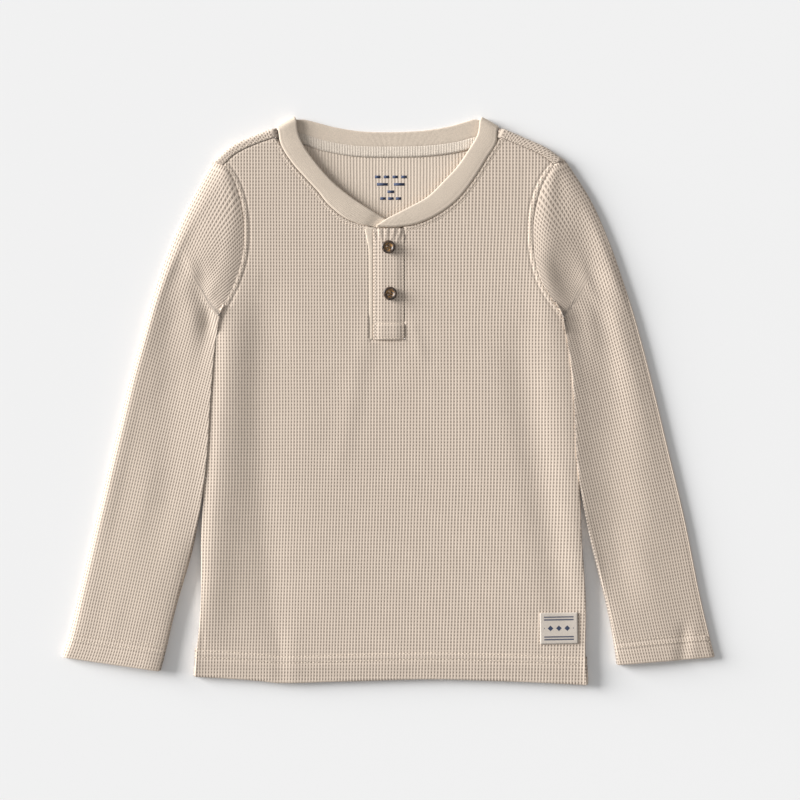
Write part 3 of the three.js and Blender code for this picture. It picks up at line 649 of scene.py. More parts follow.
def backKeep(column, row):
    below = row < back["hemRows"] + back["hemTurnRows"] + back["flatRows"]
    return below or not backBreaks[1] < column < backBreaks[2]


backRows = sum(back[part] for part in back if part.endswith("Rows"))
backPiece = finishPiece(
    "backPanelCloth", clothGrid(int(backBreaks[3]), backRows, backPlace, backKeep), insideKnit,
    ("back_panel",), body["knit"])
backPiece.data.materials.append(bodyKnit)
# the outer face shows the same side of the knit as the front
backPiece.modifiers["wall"].material_offset = 1
backPiece.modifiers["wall"].material_offset_rim = 1
print("back made")


# Sleeves. A section is the outer x and y, the inner x (None lies along the body) and y, and how much of the
# armhole's curve is left. A row of heights is a y, and then the heights from the inner edge to the outer one.
sleeves = {
    "Right": {
        "node": "sleeve_right",
        "side": "right",
        "sign": -1,
        "sections": [
            (-129.7, 175.6, None, 64, 1), (-144.9, 148, None, 60, 0.66), (-158.9, 118.4, None, 54, 0.34),
            (-170, 88.8, None, 45, 0.12), (-178.9, 59.2, None, 30, 0), (-191.2, 14.8, None, -4, 0),
            (-203.4, -36, None, -52, 0), (-215.9, -88.8, -142.4, -103, 0), (-228, -140, -156.6, -154, 0),
            (-236, -174, -163.8, -184.6, 0), (-241.2, -188.9, -167.6, -199.4, 0)],
        "edgeHeight": 1.2,
        "outerRoll": (5.0, 2.0),
        "heights": [
            (-195, 5.9, 6.7, 6.9, 6.7, 6.5, 6.3, 6.0, 5.7, 5.5, 5.2, 4.9, 4.6, 4.4, 4.1),
            (-163, 5.6, 6.3, 6.5, 6.5, 6.5, 6.3, 6.1, 6.0, 5.8, 5.5, 5.4, 5.3, 4.9, 4.1),
            (-118, 5.4, 6.3, 6.5, 6.5, 6.3, 6.2, 6.1, 6.0, 5.8, 5.6, 5.4, 5.3, 5.0, 4.3),
            (-74, 6.1, 6.2, 6.1, 5.8, 5.4, 5.3, 5.5, 5.7, 5.5, 5.2, 5.0, 5.2, 5.1, 4.5),
            (15, 5.9, 5.9, 5.7, 5.4, 5.1, 4.7, 4.5, 4.5, 4.8, 5.1, 5.3, 5.5, 5.3, 4.6),
            (59, 5.5, 5.3, 4.9, 5.4, 5.7, 5.5, 5.1, 4.7, 4.5, 4.8, 5.3, 5.7, 5.6, 4.8),
            (89, 5.3, 6.0, 6.3, 6.3, 6.0, 5.9, 5.8, 5.6, 5.2, 4.7, 4.6, 5.2, 5.4, 4.8),
            (118, 5.1, 5.9, 6.5, 6.7, 6.5, 6.3, 6.0, 5.7, 5.3, 4.9, 4.8, 5.2, 5.3, 4.8),
            (148, 5.1, 5.8, 6.3, 6.3, 6.3, 6.1, 5.9, 5.7, 5.5, 5.4, 5.3, 5.3, 5.0, 4.5)],
        "fanCentre": (-233, -15),
        "fanJoin": (-140, 118),
        "crease": ((-121, 61), (-136, 70), (-152, 116)),
    },
    "Left": {
        "node": "sleeve_left",
        "side": "left",
        "sign": 1,
        "sections": [
            (131.6, 176.6, None, 64, 1), (149.7, 148, None, 60, 0.66), (163, 118.4, None, 54, 0.34),
            (173.5, 88.8, None, 45, 0.12), (183, 59.2, None, 30, 0), (194.8, 14.8, None, -2, 0),
            (206.6, -34, None, -50, 0), (219.6, -88.8, 149.2, -102, 0), (229.8, -140, 161.4, -152, 0),
            (237.6, -174, 167, -181, 0), (241.5, -189, 168.9, -194.8, 0)],
        "edgeHeight": 2.9,
        "outerRoll": (4.0, 2.4),
        "heights": [
            (-195, 5.0, 5.4, 5.7, 5.8, 5.8, 5.7, 5.5, 5.3, 4.8, 4.3, 4.1, 3.9, 3.7, 3.3),
            (-163, 6.0, 6.4, 6.4, 6.3, 6.2, 6.0, 5.8, 5.5, 5.1, 4.7, 4.3, 3.9, 3.6, 3.2),
            (-118, 5.8, 4.9, 4.6, 4.5, 4.9, 5.4, 5.6, 5.4, 5.0, 4.6, 4.2, 3.8, 3.5, 3.1),
            (-74, 6.0, 5.4, 4.8, 4.3, 4.1, 4.3, 4.7, 5.1, 5.2, 4.9, 4.4, 3.8, 3.4, 3.0),
            (15, 6.0, 5.5, 4.9, 4.4, 3.9, 3.6, 3.6, 4.0, 4.7, 5.1, 5.0, 4.3, 3.7, 3.0),
            (59, 6.0, 5.2, 4.5, 4.4, 4.6, 4.3, 3.7, 3.7, 4.4, 5.1, 5.0, 4.4, 3.8, 3.0),
            (89, 5.8, 6.0, 5.2, 3.9, 3.3, 3.2, 3.6, 3.9, 3.3, 3.7, 4.6, 5.1, 4.6, 3.4),
            (118, 5.2, 5.8, 6.3, 6.4, 6.1, 5.6, 5.1, 4.5, 4.1, 4.0, 4.3, 4.6, 4.3, 3.4),
            (148, 5.0, 5.6, 6.0, 6.1, 5.9, 5.6, 5.4, 5.4, 5.4, 5.2, 5.0, 4.7, 4.4, 3.6)],
        "fanCentre": (238, -15),
        "fanJoin": (146, 118),
        "crease": ((126, 60), (141, 70), (158, 116)),
    },
}
arm = {
    "columns": 84,
    "rows": 150,
    "turnRows": 5,
    "allowanceRows": 5,
    "innerRoll": 1.2,
    "innerDrop": 0.3,
    "bottomRoll": 2.4,
    "cuff": 15.0,
    "cuffRowGap": 4.4,
    "cuffDent": 0.3,
    "fromBody": -1.2,
    "fromArmhole": -0.6,
    "tuck": 0.35,
    "underFlap": 1.3,
    "across": (0, 0.08, 0.16, 0.24, 0.32, 0.4, 0.48, 0.56, 0.64, 0.72, 0.8, 0.88, 0.94, 1),
    "fanReach": 165,
    "fanFrom": (12, 38),
    "fineRows": 0.35,
    "roundShare": 0.6,
    "middle": 0.35,
    "pitLift": 1.3,
}


def sleevePlace(details):
    edge = sideRight if details["sign"] < 0 else sideLeft
    sign = details["sign"]
    rows = []
    for k, (outerX, outerY, innerX, innerY, bow) in enumerate(details["sections"]):
        gap = arm["fromBody"] if k else arm["fromArmhole"]
        innerX = float(edge(innerY)) + sign * gap if innerX is None else innerX
        rows.append((outerX, outerY, innerX, innerY, bow))
    curves = [curveThrough([(k, row[c]) for k, row in enumerate(rows)]) for c in range(5)]
    last = len(rows) - 1

    def spot(k, share):
        outerX, outerY, innerX, innerY, bow = (curve(k) for curve in curves)
        armY = mix(rows[0][1], rows[0][3], share)
        chord = mix(rows[0][0], rows[0][2], share)
        bulge = edge(np.minimum(armY, body["armholeTop"])) + sign * arm["fromArmhole"] - chord
        bulge = bulge * smooth(0, 0.05, share) * smooth(1, 0.96, share)
        x = mix(outerX, innerX, share) + np.maximum(bow, 0) * bulge
        return x, mix(outerY, innerY, share), np.hypot(outerX - innerX, outerY - innerY)

    steps = np.linspace(0, last, 200)
    middleX, middleY, _ = spot(steps, np.full(200, arm["middle"]))
    lengths = np.concatenate(([0], np.cumsum(np.hypot(np.diff(middleX), np.diff(middleY)))))
    full = lengths[-1]
    outerPath = [(float(curves[0](k)), float(curves[1](k))) for k in np.linspace(0, last, 60)]
    creasePath = foldPath(*details["crease"])

    outerEdge = np.array(outerPath)[::-1]
    innerEdge = [(row[2], row[3]) for row in rows[:0:-1]] + armholePaths[details["side"]]
    rising = [k for k, point in enumerate(innerEdge) if not k or point[1] > innerEdge[k - 1][1]]
    innerEdge = np.array([innerEdge[k] for k in rising])
    table = np.array(details["heights"])
    levels = [curveThrough(list(zip(arm["across"], row[1:]))) for row in table]

    def heightAcross(x, y):
        inner = np.interp(y, innerEdge[:, 1], innerEdge[:, 0])
        outer = np.interp(y, outerEdge[:, 1], outerEdge[:, 0])
        across = np.clip((x - inner) / (outer - inner), 0, 1)
        values = np.array([level(across) for level in levels])
        station = np.clip(np.interp(y, table[:, 0], np.arange(len(table))), 0, len(table) - 1.001)
        low = station.astype(int)
        t = smooth(0, 1, station - low) * 0.5 + (station - low) * 0.5
        each = np.arange(len(low))
        return mix(values[low, each], values[low + 1, each], t)

    def place(column, row):
        around = column / arm["columns"]
        above = around < 0.5
        t = np.where(above, 2 * around, 2 - 2 * around)
        share = mix(t, (1 - np.cos(math.pi * t)) / 2, arm["roundShare"])
        turn, allowance = arm["turnRows"], arm["allowanceRows"]
        along = fineEnds(np.clip(row / arm["rows"], 0, 1), arm["fineRows"])
        angle = np.clip((row - arm["rows"]) / turn, 0, 1) * math.pi
        inside = np.clip((row - arm["rows"] - turn) / allowance, 0, 1)
        r = body["hemTurn"]
        inset = r * (1 - np.cos(angle))
        length = along * full - inside * arm["cuff"]
        k = np.interp(length, lengths, steps)
        _, _, width = spot(k, share)
        shareIn = mix(inset / width, 1 - inset / width, share)
        x, y, width = spot(k, shareIn)
        distance = shareIn * width
        toEdge = np.minimum(distance, width - distance)
        beside = smooth(-120, -90, y) * smooth(0.3, 0.7, shareIn)
        opened = heightAcross(x, y) + lift(x, y)
        edgeZ = mix(details["edgeHeight"], opened - arm["innerDrop"], beside)
        fromCuff = full - length
        opened += hemRelief(fromCuff, arm["cuff"], arm["cuffRowGap"], arm["cuffDent"])
        opened -= arm["tuck"] * smooth(1.8, 0.0, length)
        reach, power = details["outerRoll"]
        outerRise = 1 - (1 - np.clip(toEdge / reach, 0, 1)) ** power
        rise = np.where(shareIn > 0.5, roll(toEdge, arm["innerRoll"]), outerRise)
        top = mix(edgeZ, opened, rise) - inset
        low = edgeZ * (1 - roll(toEdge, arm["bottomRoll"])) + inset
        low += arm["pitLift"] * smooth(18, 10, np.hypot(x - float(edge(body["pit"])), y - body["pit"]))
        z = np.where(above, np.maximum(top, low + 0.2), low)
        push = r * np.sin(angle)
        directionX = curves[0](last) - curves[0](last - 1)
        directionY = curves[1](last) - curves[1](last - 1)
        size = math.hypot(directionX, directionY)
        x, y = x + push * directionX / size, y + push * directionY / size
        flap = arm["underFlap"] * smooth(0.3, 0.05, shareIn) * smooth(4.0, 0.0, length)
        x, y = x - sign * flap, y + flap
        fromOuter, _, _ = nearest(outerPath, x, y)
        # in the cap the ribs fan out towards the armhole, as far down as the armpit crease
        centre, join = details["fanCentre"], details["fanJoin"]
        bearing = np.arctan2(y - centre[1], -sign * (x - centre[0]))
        joinBearing = math.atan2(join[1] - centre[1], -sign * (join[0] - centre[0]))
        base = nearest(outerPath, np.array([join[0]]), np.array([join[1]]))[0][0]
        fanned = base + arm["fanReach"] * (joinBearing - bearing)
        offCrease, _, sideOfCrease = nearest(creasePath, x, y)
        aboveCrease = smooth(-1.2, 1.2, offCrease * sideOfCrease * sign)
        share = smooth(*arm["fanFrom"], fromOuter) * aboveCrease
        u = np.where(above, mix(fromOuter, fanned, share), -fromOuter)
        return x, y, z, u, length

    return place


sleevePieces = []
for name, details in sleeves.items():
    rows = arm["rows"] + arm["turnRows"] + arm["allowanceRows"]
    mesh = clothGrid(arm["columns"], rows, sleevePlace(details), merge=0.01)
    sleevePieces.append(finishPiece(
        "sleeve" + name + "Cloth", mesh, sleeveKnit, (details["node"],), body["knit"],
        details["sign"] < 0))
print("sleeves made")


# The neckband: seam edge and free edge at each station, where None lies on the neckline,
# and the height of its middle
band = {
    "rightFront": [
        (6, 121.4, 10.5, 129.6, 3.1), (-9, 126.6, -2.6, 134.2, 3.1), (-12.5, 127.4, -5, 135.8, 3.1),
        (-19.5, None, -11.5, 139.7, 4.2), (-33.3, None, -24.5, 148.1, 4.8), (-44.5, None, -34, 155.4, 4.9),
        (-52, None, -41.6, 162.1, 4.9), (-61.5, None, -50, 171.4, 4.9), (-70, None, -57.4, 180.9, 4.8),
        (-75.7, None, -62.6, 188.9, 4.8), (-79.6, None, -66.2, 197.4, 4.7)],
    "back": [
        (-76, None, -62, 207.4), (-64, None, -53, 205.3), (-47.2, None, -40.5, 202),
        (-23.5, None, -20.5, 198.8), (2.4, None, 2.4, 198.2), (28, None, 26, 199.3), (50, None, 45, 202.3),
        (66, None, 56.5, 205.6), (76.5, None, 64, 207.6)],
    "leftFront": [
        (80.6, None, 66.4, 196.6, 4.8), (73.7, None, 60.6, 186.2, 4.9), (63.8, None, 51.4, 172.6, 5.0),
        (51.9, None, 41, 161.4, 5.0), (37.9, None, 29.5, 150.2, 5.1), (22.2, None, 16, 142.6, 5.3),
        (10, None, 7, 138, 5.4), (0, None, -1, 133.8, 5.4), (-8.6, None, -8, 129.2, 5.4)],
    "foldRight": (-83, 201.7, -68.8, 209.8),
    "foldLeft": (83, 201.7, 69.4, 209.5),
    "thickness": 2.0,
    "columns": 36,
    "rows": 260,
    "turnSteps": 8,
    "inset": 0.45,
    "rolls": (2.6, 1.0),
    "crown": 0.15,
    "ripple": (1.4, 2.6, 0.14, 0.6),
}


def bandStations():
    half = band["thickness"] / 2
    stations = []

    def lie(row, curve, height, up):
        seamX, seamY, freeX, freeY = row[:4]
        seamY = float(curve(seamX)) if seamY is None else seamY
        stations.append((seamX, seamY, height, freeX, freeY, height, 0.0, 0.0, up))

    def turn(fold, top, fromTop):
        seamX, seamY, freeX, freeY = fold
        length = math.hypot(freeX - seamX, freeY - seamY)
        inX, inY = (freeY - seamY) / length, -(freeX - seamX) / length
        if inY > 0:
            inX, inY = -inX, -inY
        radius = (top - half) / 2
        for s in range(band["turnSteps"] + 1):
            share = s / band["turnSteps"]
            angle = mix(math.pi / 2, -math.pi / 2, share if fromTop else 1 - share)
            outX, outY, outZ = -inX * math.cos(angle), -inY * math.cos(angle), math.sin(angle)
            base = radius + half
            atX, atY, z = inX * base + outX * radius, inY * base + outY * radius, base + outZ * radius
            stations.append((seamX + atX, seamY + atY, z, freeX + atX, freeY + atY, z, outX, outY, outZ))

    for row in band["rightFront"]:
        lie(row, neckline, row[4], 1.0)
    turn(band["foldRight"], band["rightFront"][-1][4], True)
    for row in band["back"]:
        lie(row, backNeckline, half, -1.0)
    turn(band["foldLeft"], band["leftFront"][0][4], False)
    for row in band["leftFront"]:
        lie(row, neckline, row[4], 1.0)
    return np.array(stations)


def bandPlace(column, row):
    stations = bandStations()
    middle = (stations[:, :3] + stations[:, 3:6]) / 2
    run = np.concatenate(([0], np.cumsum(np.linalg.norm(np.diff(middle, axis=0), axis=1))))
    fields = [curveThrough(list(zip(run, stations[:, c]))) for c in range(9)]
    s = row / band["rows"] * run[-1]
    seam = np.stack([fields[c](s) for c in range(3)], 1)
    free = np.stack([fields[c](s) for c in range(3, 6)], 1)
    out = np.stack([fields[c](s) for c in range(6, 9)], 1)
    out /= np.linalg.norm(out, axis=1)[:, None]
    width = np.linalg.norm(free - seam, axis=1)
    turn = column / band["columns"] * 2 * math.pi
    # a flat loop, blunt at the free edge where the strip is folded and thinner at the seam
    c, sn = np.cos(turn), np.sin(turn)
    across = 0.5 - 0.5 * c * (1.15 - 0.15 * c * c)
    half = band["thickness"] / 2
    edge = np.minimum(across, 1 - across) * width
    bulge = half * np.sign(sn) * roll(edge, np.where(across < 0.5, *band["rolls"]))
    fromSeam = across * width
    crown = band["crown"] * np.sin(math.pi * across) + seamRipple(fromSeam, *band["ripple"])
    crown = np.where(sn > 0, crown, 0.0)
    share = mix(band["inset"] / width, 1.0, across)
    point = seam + (free - seam) * share[:, None] + out * (bulge + crown)[:, None]
    return point[:, 0], point[:, 1], point[:, 2], s, across * width * np.sign(sn + 1e-9)


def neckbandMesh():
    bm = clothGrid(band["columns"], band["rows"], bandPlace, merge=0.005)
    ends = [edge for edge in bm.edges if edge.is_boundary]
    bmesh.ops.holes_fill(bm, edges=ends, sides=0)
    bmesh.ops.recalc_face_normals(bm, faces=bm.faces)
    return bm


bandPiece = finishPiece("neckbandCloth", neckbandMesh(), bandKnit, ("neckband",))
print("neckband made")


# Flat strips: neck tape, under placket, top placket and the facing beside it
tape = {"width": 8.4, "reach": 78, "z": 1.25, "thickness": 0.6, "over": 2.1, "columns": 90, "rows": 6}


def tapePlace(column, row):
    share = row / tape["rows"]
    x = mix(-tape["reach"], tape["reach"], column / tape["columns"])
    y = backNeckline(x) + tape["over"] - tape["width"] * (1 - share)
    z = np.full(len(x), tape["z"] + tape["thickness"]) + 0.1 * np.sin(x * 1.1) * (1 - share)
    z -= np.where(row < 1, 0.4, 0.0)
    return x, y, z, x, y - backNeckline(x)


tapePiece = finishPiece(
    "neckTapeCloth", clothGrid(tape["columns"], tape["rows"], tapePlace), tapeWeave,
    ("neck_tape",), tape["thickness"])
under = {"columns": 14, "rows": 40, "topRight": 126.4, "topLeft": 118.4}


def underPlace(column, row):
    across = column / under["columns"]
    x = mix(placket["underLeft"], placket["right"], across)
    y = mix(placket["bottom"], mix(under["topRight"], under["topLeft"], across), row / under["rows"])
    return x, y, np.full(len(x), placket["underZ"] + placket["knit"]), x, y


underPiece = finishPiece(
    "placketUnderCloth", clothGrid(under["columns"], under["rows"], underPlace), bodyKnit,
    ("placket_under",), placket["knit"])
top = {
    "columns": 26,
    "rows": 84,
    "edgeRise": 1.0,
    "middleRise": 1.75,
    "boxRise": 0.4,
    "dent": 0.45,
    "thickness": 1.6,
}


def topPlace(column, row):
    x = mix(placket["left"], placket["right"], column / top["columns"])
    y = mix(placket["bottom"], placket["top"], row / top["rows"])
    toEdge = np.minimum(x - placket["left"], placket["right"] - x)
    z = placket["topZ"] + mix(top["edgeRise"], top["middleRise"], smooth(-1, 7, toEdge))
    box = smooth(placket["boxTop"] + 0.5, placket["boxTop"] - 0.5, y)
    z = z + top["boxRise"] * box
    for line in (placket["boxTop"] + 0.7, placket["bottom"] + 1.4):
        z -= top["dent"] * bell(y, line, 0.6)
    z -= 0.4 * box * bell(toEdge, 1.5, 0.6)
    # short puckers fan out below the neckband
    z += 0.3 * np.sin((x + 2) / (1 + (y - 118) * 0.03) * 1.5) * smooth(115, 123, y)
    return x, y, z, x, y


topPiece = finishPiece(
    "placketTopCloth", clothGrid(top["columns"], top["rows"], topPlace), bodyKnit,
    ("placket_top",), top["thickness"])
facing = {
    "width": ((44, 3.2), (100, 3.4), (112, 3.7), (120, 5.2), (127, 6.8)),
    "under": 1.6,
    "proud": 0.2,
    "thickness": 0.6,
    "columns": 8,
    "rows": 60,
}
facingWidth = curveThrough(facing["width"])


def facingPlace(column, row):
    y = mix(placket["bottom"] - 0.3, placket["top"] + 0.8, row / facing["rows"])
    toLeft = column / facing["columns"] * (facingWidth(y) + facing["under"])
    x = placket["left"] - facingWidth(y) + toLeft
    z = body["frontHeight"] + 0.05 + facing["proud"] * smooth(0, 1.6, toLeft)
    z -= 0.5 * smooth(placket["left"] - 0.6, placket["left"] + 0.2, x)
    return x, y, z, x, y


facingPiece = finishPiece(
    "placketFacingCloth", clothGrid(facing["columns"], facing["rows"], facingPlace), bandKnit,
    (), facing["thickness"])
print("placket and tape made")


# Where a ray from straight above meets the cloth, which has to be all laid by now
def clothFrom(pieces):
    graph = bpy.context.evaluated_depsgraph_get()
    return [BVHTree.FromObject(piece, graph) for piece in pieces]


topCloth = clothFrom([frontPiece, backPiece, topPiece, underPiece, bandPiece, tapePiece] + sleevePieces)


def onCloth(x, y):
    best, normal = None, Vector((0, 0, 1))
    for tree in topCloth:
        hit, hitNormal, _, _ = tree.ray_cast(Vector((x * mm, y * mm, 0.05)), Vector((0, 0, -1)))
        if hit is not None and (best is None or hit.z > best.z):
            best, normal = hit, hitNormal
    return best, normal


# Buttons: a spot is the piece, its node, x, y and how far the button is turned
buttons = {
    "spots": (
        ("buttonTop", "button_top", 0.6, 112.9, 0.5),
        ("buttonBottom", "button_bottom", 1.8, 78.5, -0.2)),
    "radius": 5.0,
    "thickness": 2.4,
    "holeRadius": 0.7,
    "holeOffset": 1.15,
    "rimFrom": 0.66,
    "bottom": 6.6,
}


# Cast resin that imitates horn: brown clouds under a soft polish, so that the rim catches a small highlight
def hornResin(name, dark, middle, pale):
    material, tree = newMaterial(name)
    place = addNode(tree, "ShaderNodeTexCoord").outputs["Object"]
    cloud = noise(tree, place, 420.0, 3.0, 1.2)["Fac"]
    surface(tree, {
        "Base Color": colourRamp(tree, cloud, [(0.38, dark), (0.52, middle), (0.66, pale)]),
        "Roughness": 0.42, "IOR": 1.54, "Coat Weight": 0.1, "Coat Roughness": 0.3})
    return material


hornFace = hornResin("polishedHornResinFace", "#4a321a", "#7c5a30", "#b98c4e")
hornRimAndHoleShade = hornResin("polishedHornResinRimAndHoleShade", "#241b14", "#43332a", "#6e5842")


# Puts a mesh made in millimetres at a button's place
def seatButton(bm, x, y, turn):
    place = Matrix.Translation((x * mm, y * mm, buttons["bottom"] * mm)) @ Matrix.Rotation(turn, 4, "Z")
    bmesh.ops.transform(bm, matrix=place @ Matrix.Scale(mm, 4), verts=bm.verts)


def buttonMesh(x, y, turn):
    r, t = buttons["radius"], buttons["thickness"]
    # shares of the radius and of the thickness: a dished middle inside a raised, rounded rim
    profile = [(0.02, 0.55), (0.3, 0.56), (0.52, 0.62), (0.62, 0.86), (0.72, 0.97), (0.82, 1.0), (0.92, 0.94),
               (0.985, 0.78), (1.0, 0.58), (0.97, 0.38), (0.85, 0.16), (0.6, 0.02), (0.02, 0.0)]
    bm = bmesh.new()
    verts = [bm.verts.new((share * r, 0, height * t)) for share, height in profile]
    edges = [bm.edges.new(pair) for pair in zip(verts, verts[1:])]
    bmesh.ops.spin(bm, geom=verts + edges, cent=(0, 0, 0), axis=(0, 0, 1), angle=2 * math.pi, steps=48,
                   use_merge=True, use_duplicate=False)
    bmesh.ops.remove_doubles(bm, verts=bm.verts, dist=0.001)
    bmesh.ops.holes_fill(bm, edges=[edge for edge in bm.edges if edge.is_boundary], sides=0)
    bmesh.ops.recalc_face_normals(bm, faces=bm.faces)
    seatButton(bm, x, y, turn)
    return bm


def drillHoles(piece, x, y, turn):
    bm = bmesh.new()
    o = buttons["holeOffset"]
    for dx, dy in ((o, o), (o, -o), (-o, o), (-o, -o)):
        bmesh.ops.create_cone(bm, cap_ends=True, segments=16, radius1=buttons["holeRadius"],
                              radius2=buttons["holeRadius"], depth=8, matrix=Matrix.Translation((dx, dy, 0)))
    seatButton(bm, x, y, turn)
    drill = newObject("drill", bm)
    cut = piece.modifiers.new("holes", "BOOLEAN")
    cut.operation = "DIFFERENCE"
    cut.object = drill
    cut.solver = "EXACT"
    graph = bpy.context.evaluated_depsgraph_get()
    done = bpy.data.meshes.new_from_object(piece.evaluated_get(graph))
    piece.modifiers.remove(cut)
    piece.data = done
    bpy.data.objects.remove(drill)


for name, node, x, y, turn in buttons["spots"]:
    piece = finishPiece(name, buttonMesh(x, y, turn), hornFace, (node,))
    drillHoles(piece, x, y, turn)
    piece.data.materials.append(hornRimAndHoleShade)
    # the rim and the walls of the holes take the darker rim colour; on the hole walls it is painted shade
    for face in piece.data.polygons:
        fromCentre = math.hypot(face.center.x - x * mm, face.center.y - y * mm)
        inHole = abs(face.normal.z) < 0.2 and fromCentre < 0.6 * buttons["radius"] * mm
        face.material_index = int(fromCentre > buttons["rimFrom"] * buttons["radius"] * mm or inHole)
print("buttons made")


# Sewing: short stitches laid along a line on the cloth, each row at a distance from its seam or edge
sewing = {
    "pitch": 2.9,
    "length": 2.2,
    "radius": 0.22,
    "sink": 0.02,
    "hemEnds": (-140, 144.5),
    "neckRows": (1.2, 2.9),
    "armholeInset": 1.6,
    "shoulderInset": 1.4,
    "placketInset": 0.9,
    "placketTops": (124, 125.5),
}


def evenly(path, pitch):
    points = np.array(path, float)
    run = np.concatenate(([0], np.cumsum(np.hypot(*np.diff(points, axis=0).T))))
    count = max(1, int(run[-1] / pitch))
    spots = (np.arange(count) + 0.5) * run[-1] / count
    x, y = np.interp(spots, run, points[:, 0]), np.interp(spots, run, points[:, 1])
    ahead, behind = np.minimum(spots + 0.6, run[-1]), np.maximum(spots - 0.6, 0)
    dx = np.interp(ahead, run, points[:, 0]) - np.interp(behind, run, points[:, 0])
    dy = np.interp(ahead, run, points[:, 1]) - np.interp(behind, run, points[:, 1])
    return zip(x, y, dx, dy)


def offsetPath(path, distance):
    points = np.array(path, float)
    steps = np.gradient(points, axis=0)
    size = np.hypot(steps[:, 0], steps[:, 1])
    return points + np.stack([-steps[:, 1] / size, steps[:, 0] / size], 1) * distance


def stitchPiece(name, paths, size):
    bm = bmesh.new()
    for path in paths:
        for x, y, dx, dy in evenly(path, sewing["pitch"] * size):
            hit, normal = onCloth(x, y)
            if hit is None:
                continue
            ahead = Vector((dx, dy, 0)).normalized()
            ahead = (ahead - normal * ahead.dot(normal)).normalized()
            aside = normal.cross(ahead)
            turn = Matrix((ahead, aside, normal)).transposed().to_4x4()
            radius = sewing["radius"] * mm
            scale = Matrix.Diagonal((sewing["length"] * size / 2 * mm, radius, radius, 1))
            centre = hit + normal * sewing["sink"] * mm
            bmesh.ops.create_uvsphere(bm, u_segments=6, v_segments=4, radius=1.0,
                                      matrix=Matrix.Translation(centre) @ turn @ scale)
    bm.loops.layers.uv.new("knit")
    return finishPiece(name, bm, threadTwist)


hemRows = []
for depth in (body["hemDepth"], body["hemDepth"] - body["hemRowGap"]):
    hemRows.append([(x, float(hemline(x)) + depth) for x in np.linspace(*sewing["hemEnds"], 80)])
cuffRows = []
for start, end in (((-235.4, -172.4), (-164.2, -181.6)), ((237.2, -172.6), (168.2, -177.6))):
    cuffRows.append([start, end])
    gap = arm["cuffRowGap"]
    cuffRows.append([(start[0] * 1.005, start[1] - gap), (end[0] * 1.006, end[1] - gap)])
neckRows = []
for sign in (-1, 1):
    for distance in sewing["neckRows"]:
        line = offsetPath(necklinePath, -distance)
        neckRows.append([p for p in line if p[0] * sign > 0 and not notchLeft < p[0] < notchRight])
inset = sewing["placketInset"]
leftTop, rightTop = sewing["placketTops"]
left, right = placket["left"] + inset, placket["right"] - inset
low, high = placket["bottom"] + inset, placket["boxTop"]
boxRows = [[(left, low), (right, low)], [(left, high), (right, high)], [(left, low), (left, high)],
           [(right, low), (right, high)], [(left + 0.2, high), (left + 0.2, leftTop)],
           [(right, high), (right, rightTop)]]
armholeRows = [offsetPath(armholePaths["right"], -sewing["armholeInset"]),
               offsetPath(armholePaths["left"], sewing["armholeInset"])]
shoulderRows = [offsetPath(path, sewing["shoulderInset"]) for path in shoulderPaths.values()]
# each seam's rows, its slot, and the size of its stitches
seams = {
    "hemStitches": (hemRows, "waffle_knit", 1.0),
    "cuffStitches": (cuffRows, "waffle_knit", 1.0),
    "neckStitches": (neckRows, "rib_jersey", 0.8),
    "armholeStitches": (armholeRows, "waffle_knit", 1.0),
    "placketStitches": (boxRows, "waffle_knit", 0.8),
    "shoulderStitches": (shoulderRows, "waffle_knit", 0.9),
}
for name, (paths, slotName, size) in seams.items():
    stitchPiece(name, paths, size)
print("sewing made")


# The woven label
label = {
    "x": 126.3,
    "y": -168.4,
    "width": 28,
    "height": 23,
    "tilt": 0.017,
    "thickness": 0.55,
    "lift": 0.2,
    "diamondPitch": 3.1,
    "diamondEdge": (1.9, 2.3),
    "pairFrom": 7.3,
    "pairHalf": 1.0,
    "lineEdge": (0.4, 0.65),
    "inkEnds": (10.8, 11.1),
}


def labelPlace(column, row):
    a = (column / 28 - 0.5) * label["width"]
    b = (row / 23 - 0.5) * label["height"]
    c, s = math.cos(label["tilt"]), math.sin(label["tilt"])
    x, y = label["x"] + a * c - b * s, label["y"] + a * s + b * c
    z = frontTop(x, y) + label["lift"] + label["thickness"]
    return x, y, z, a, b


# Damask weave: smooth, with fine ridges across. It has a row of diamonds along its middle, and a pair of thin
# lines above and below.
def labelWeave():
    material, tree = newMaterial("damaskLabelWeave")
    knit, _ = knitPlaces(tree)
    parts = addNode(tree, "ShaderNodeSeparateXYZ", {0: knit}).outputs

    def drawn(distance, edge, depth=1.0):
        return remap(tree, distance, (edge[0] * mm, edge[1] * mm), (depth, 0.0))

    fromMiddle = compute(tree, "ABSOLUTE", parts["Y"])
    zigzag = compute(tree, "PINGPONG", parts["X"], label["diamondPitch"] * mm)
    diamonds = drawn(compute(tree, "ADD", zigzag, fromMiddle), label["diamondEdge"])
    fromPair = compute(tree, "ABSOLUTE", compute(tree, "SUBTRACT", fromMiddle, label["pairFrom"] * mm))
    fromLine = compute(tree, "ABSOLUTE", compute(tree, "SUBTRACT", fromPair, label["pairHalf"] * mm))
    ink = compute(tree, "MAXIMUM", diamonds, drawn(fromLine, label["lineEdge"], 0.9))
    inside = drawn(compute(tree, "ABSOLUTE", parts["X"]), label["inkEnds"])
    inked = compute(tree, "MULTIPLY", ink, inside)
    colour = addNode(tree, "ShaderNodeMix", {"A": linear("#d8cdc1"), "B": linear("#36425c"), "Factor": inked},
                     data_type="RGBA")
    weave = addNode(tree, "ShaderNodeTexWave", {"Vector": knit, "Scale": 520.0, "Distortion": 0.8},
                    bands_direction="Y")
    surface(tree, {
        "Base Color": colour.outputs[2], "Normal": bump(tree, weave.outputs["Fac"], 0.16, 0.9),
        "Roughness": 0.7, "Sheen Weight": 0.15, "IOR": 1.45})
    return material


labelPiece = finishPiece("hemLabelCloth", clothGrid(28, 23, labelPlace), labelWeave(),
                         ("hem_label",), label["thickness"])
print("label made")


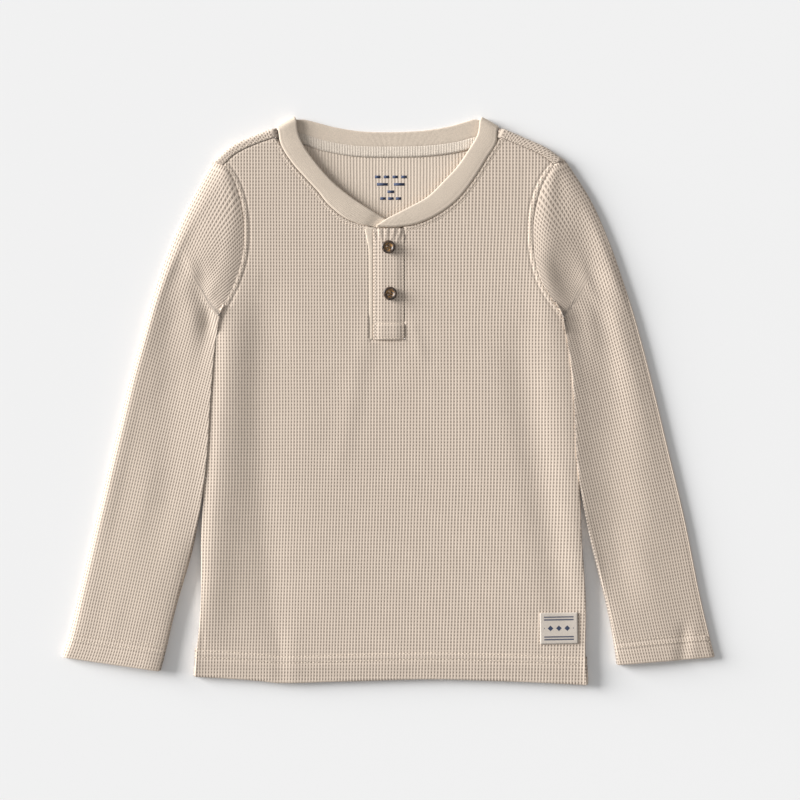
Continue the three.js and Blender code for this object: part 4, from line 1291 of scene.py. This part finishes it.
# The printed mark inside the back neck, as plain bars with nothing to read: x, y and length
marks = {
    "bars": ((-7.5, 165, 4), (-1, 165, 4), (5.5, 165, 4), (12, 165, 4), (-4, 159.5, 8), (8.5, 159.5, 8),
             (2.2, 154, 5), (-3.5, 149, 4), (2.2, 149, 4), (8, 149, 4)),
    "height": 2.0,
    "thickness": 0.12,
}


# Screen print: a dull film of ink with no relief of its own
def printInk():
    material, tree = newMaterial("screenPrintInk")
    surface(tree, {"Base Color": linear("#3a4560"), "Roughness": 0.75})
    return material


def marksMesh():
    bm = bmesh.new()
    for x, y, length in marks["bars"]:
        size = Matrix.Diagonal((length * mm, marks["height"] * mm, marks["thickness"] * mm, 1))
        spot = Matrix.Translation((x * mm, y * mm, (body["knit"] + marks["thickness"] / 2) * mm))
        bmesh.ops.create_cube(bm, size=1.0, matrix=spot @ size)
    bm.loops.layers.uv.new("knit")
    return bm


finishPiece("neckPrintBars", marksMesh(), printInk())


# The surface, the light and the camera
def studioFloor():
    bm = bmesh.new()
    bmesh.ops.create_grid(bm, x_segments=1, y_segments=1, size=3.0)
    floor = newObject("floor", bm)
    floor.location.z = -0.3 * mm
    # matte paper: it takes soft shadows and shows no gloss
    material, tree = newMaterial("mattePaper")
    surface(tree, {"Base Color": linear("#f4f4f4"), "Roughness": 0.9})
    floor.data.materials.append(material)


# A broad, low light from the picture's left, and a pale sky: angles in degrees
light = {
    "azimuth": 162,
    "elevation": 15,
    "spread": 33,
    "strength": 7.0,
    "sky": 0.39,
}


def studioLight():
    key = bpy.data.lights.new("key", "SUN")
    key.energy = light["strength"]
    key.angle = math.radians(light["spread"])
    lamp = bpy.data.objects.new("key", key)
    around, up = math.radians(light["azimuth"]), math.radians(light["elevation"])
    source = Vector((math.cos(around) * math.cos(up), math.sin(around) * math.cos(up), math.sin(up)))
    lamp.rotation_euler = (-source).to_track_quat("-Z", "Y").to_euler()
    bpy.context.scene.collection.objects.link(lamp)
    world = bpy.data.worlds.new("studio")
    world.use_nodes = True
    sky = world.node_tree.nodes["Background"]
    sky.inputs["Color"].default_value = (1.0, 1.0, 1.0, 1.0)
    sky.inputs["Strength"].default_value = light["sky"]
    bpy.context.scene.world = world
    bpy.context.scene.view_settings.view_transform = "Standard"


# The camera: its height and its frame's width in metres, the frame's centre and the sensor in millimetres
view = {"height": 2.0, "frameWidth": 0.592, "centreX": 9.07, "sensor": 36.0}


def studioCamera():
    camera = bpy.data.cameras.new("camera")
    camera.sensor_width = view["sensor"]
    camera.lens = view["sensor"] * view["height"] / view["frameWidth"]
    eye = bpy.data.objects.new("camera", camera)
    eye.location = (view["centreX"] * mm, 0.0, view["height"])
    bpy.context.scene.collection.objects.link(eye)
    bpy.context.scene.camera = eye


studioFloor()
studioLight()
studioCamera()
print("studio made")
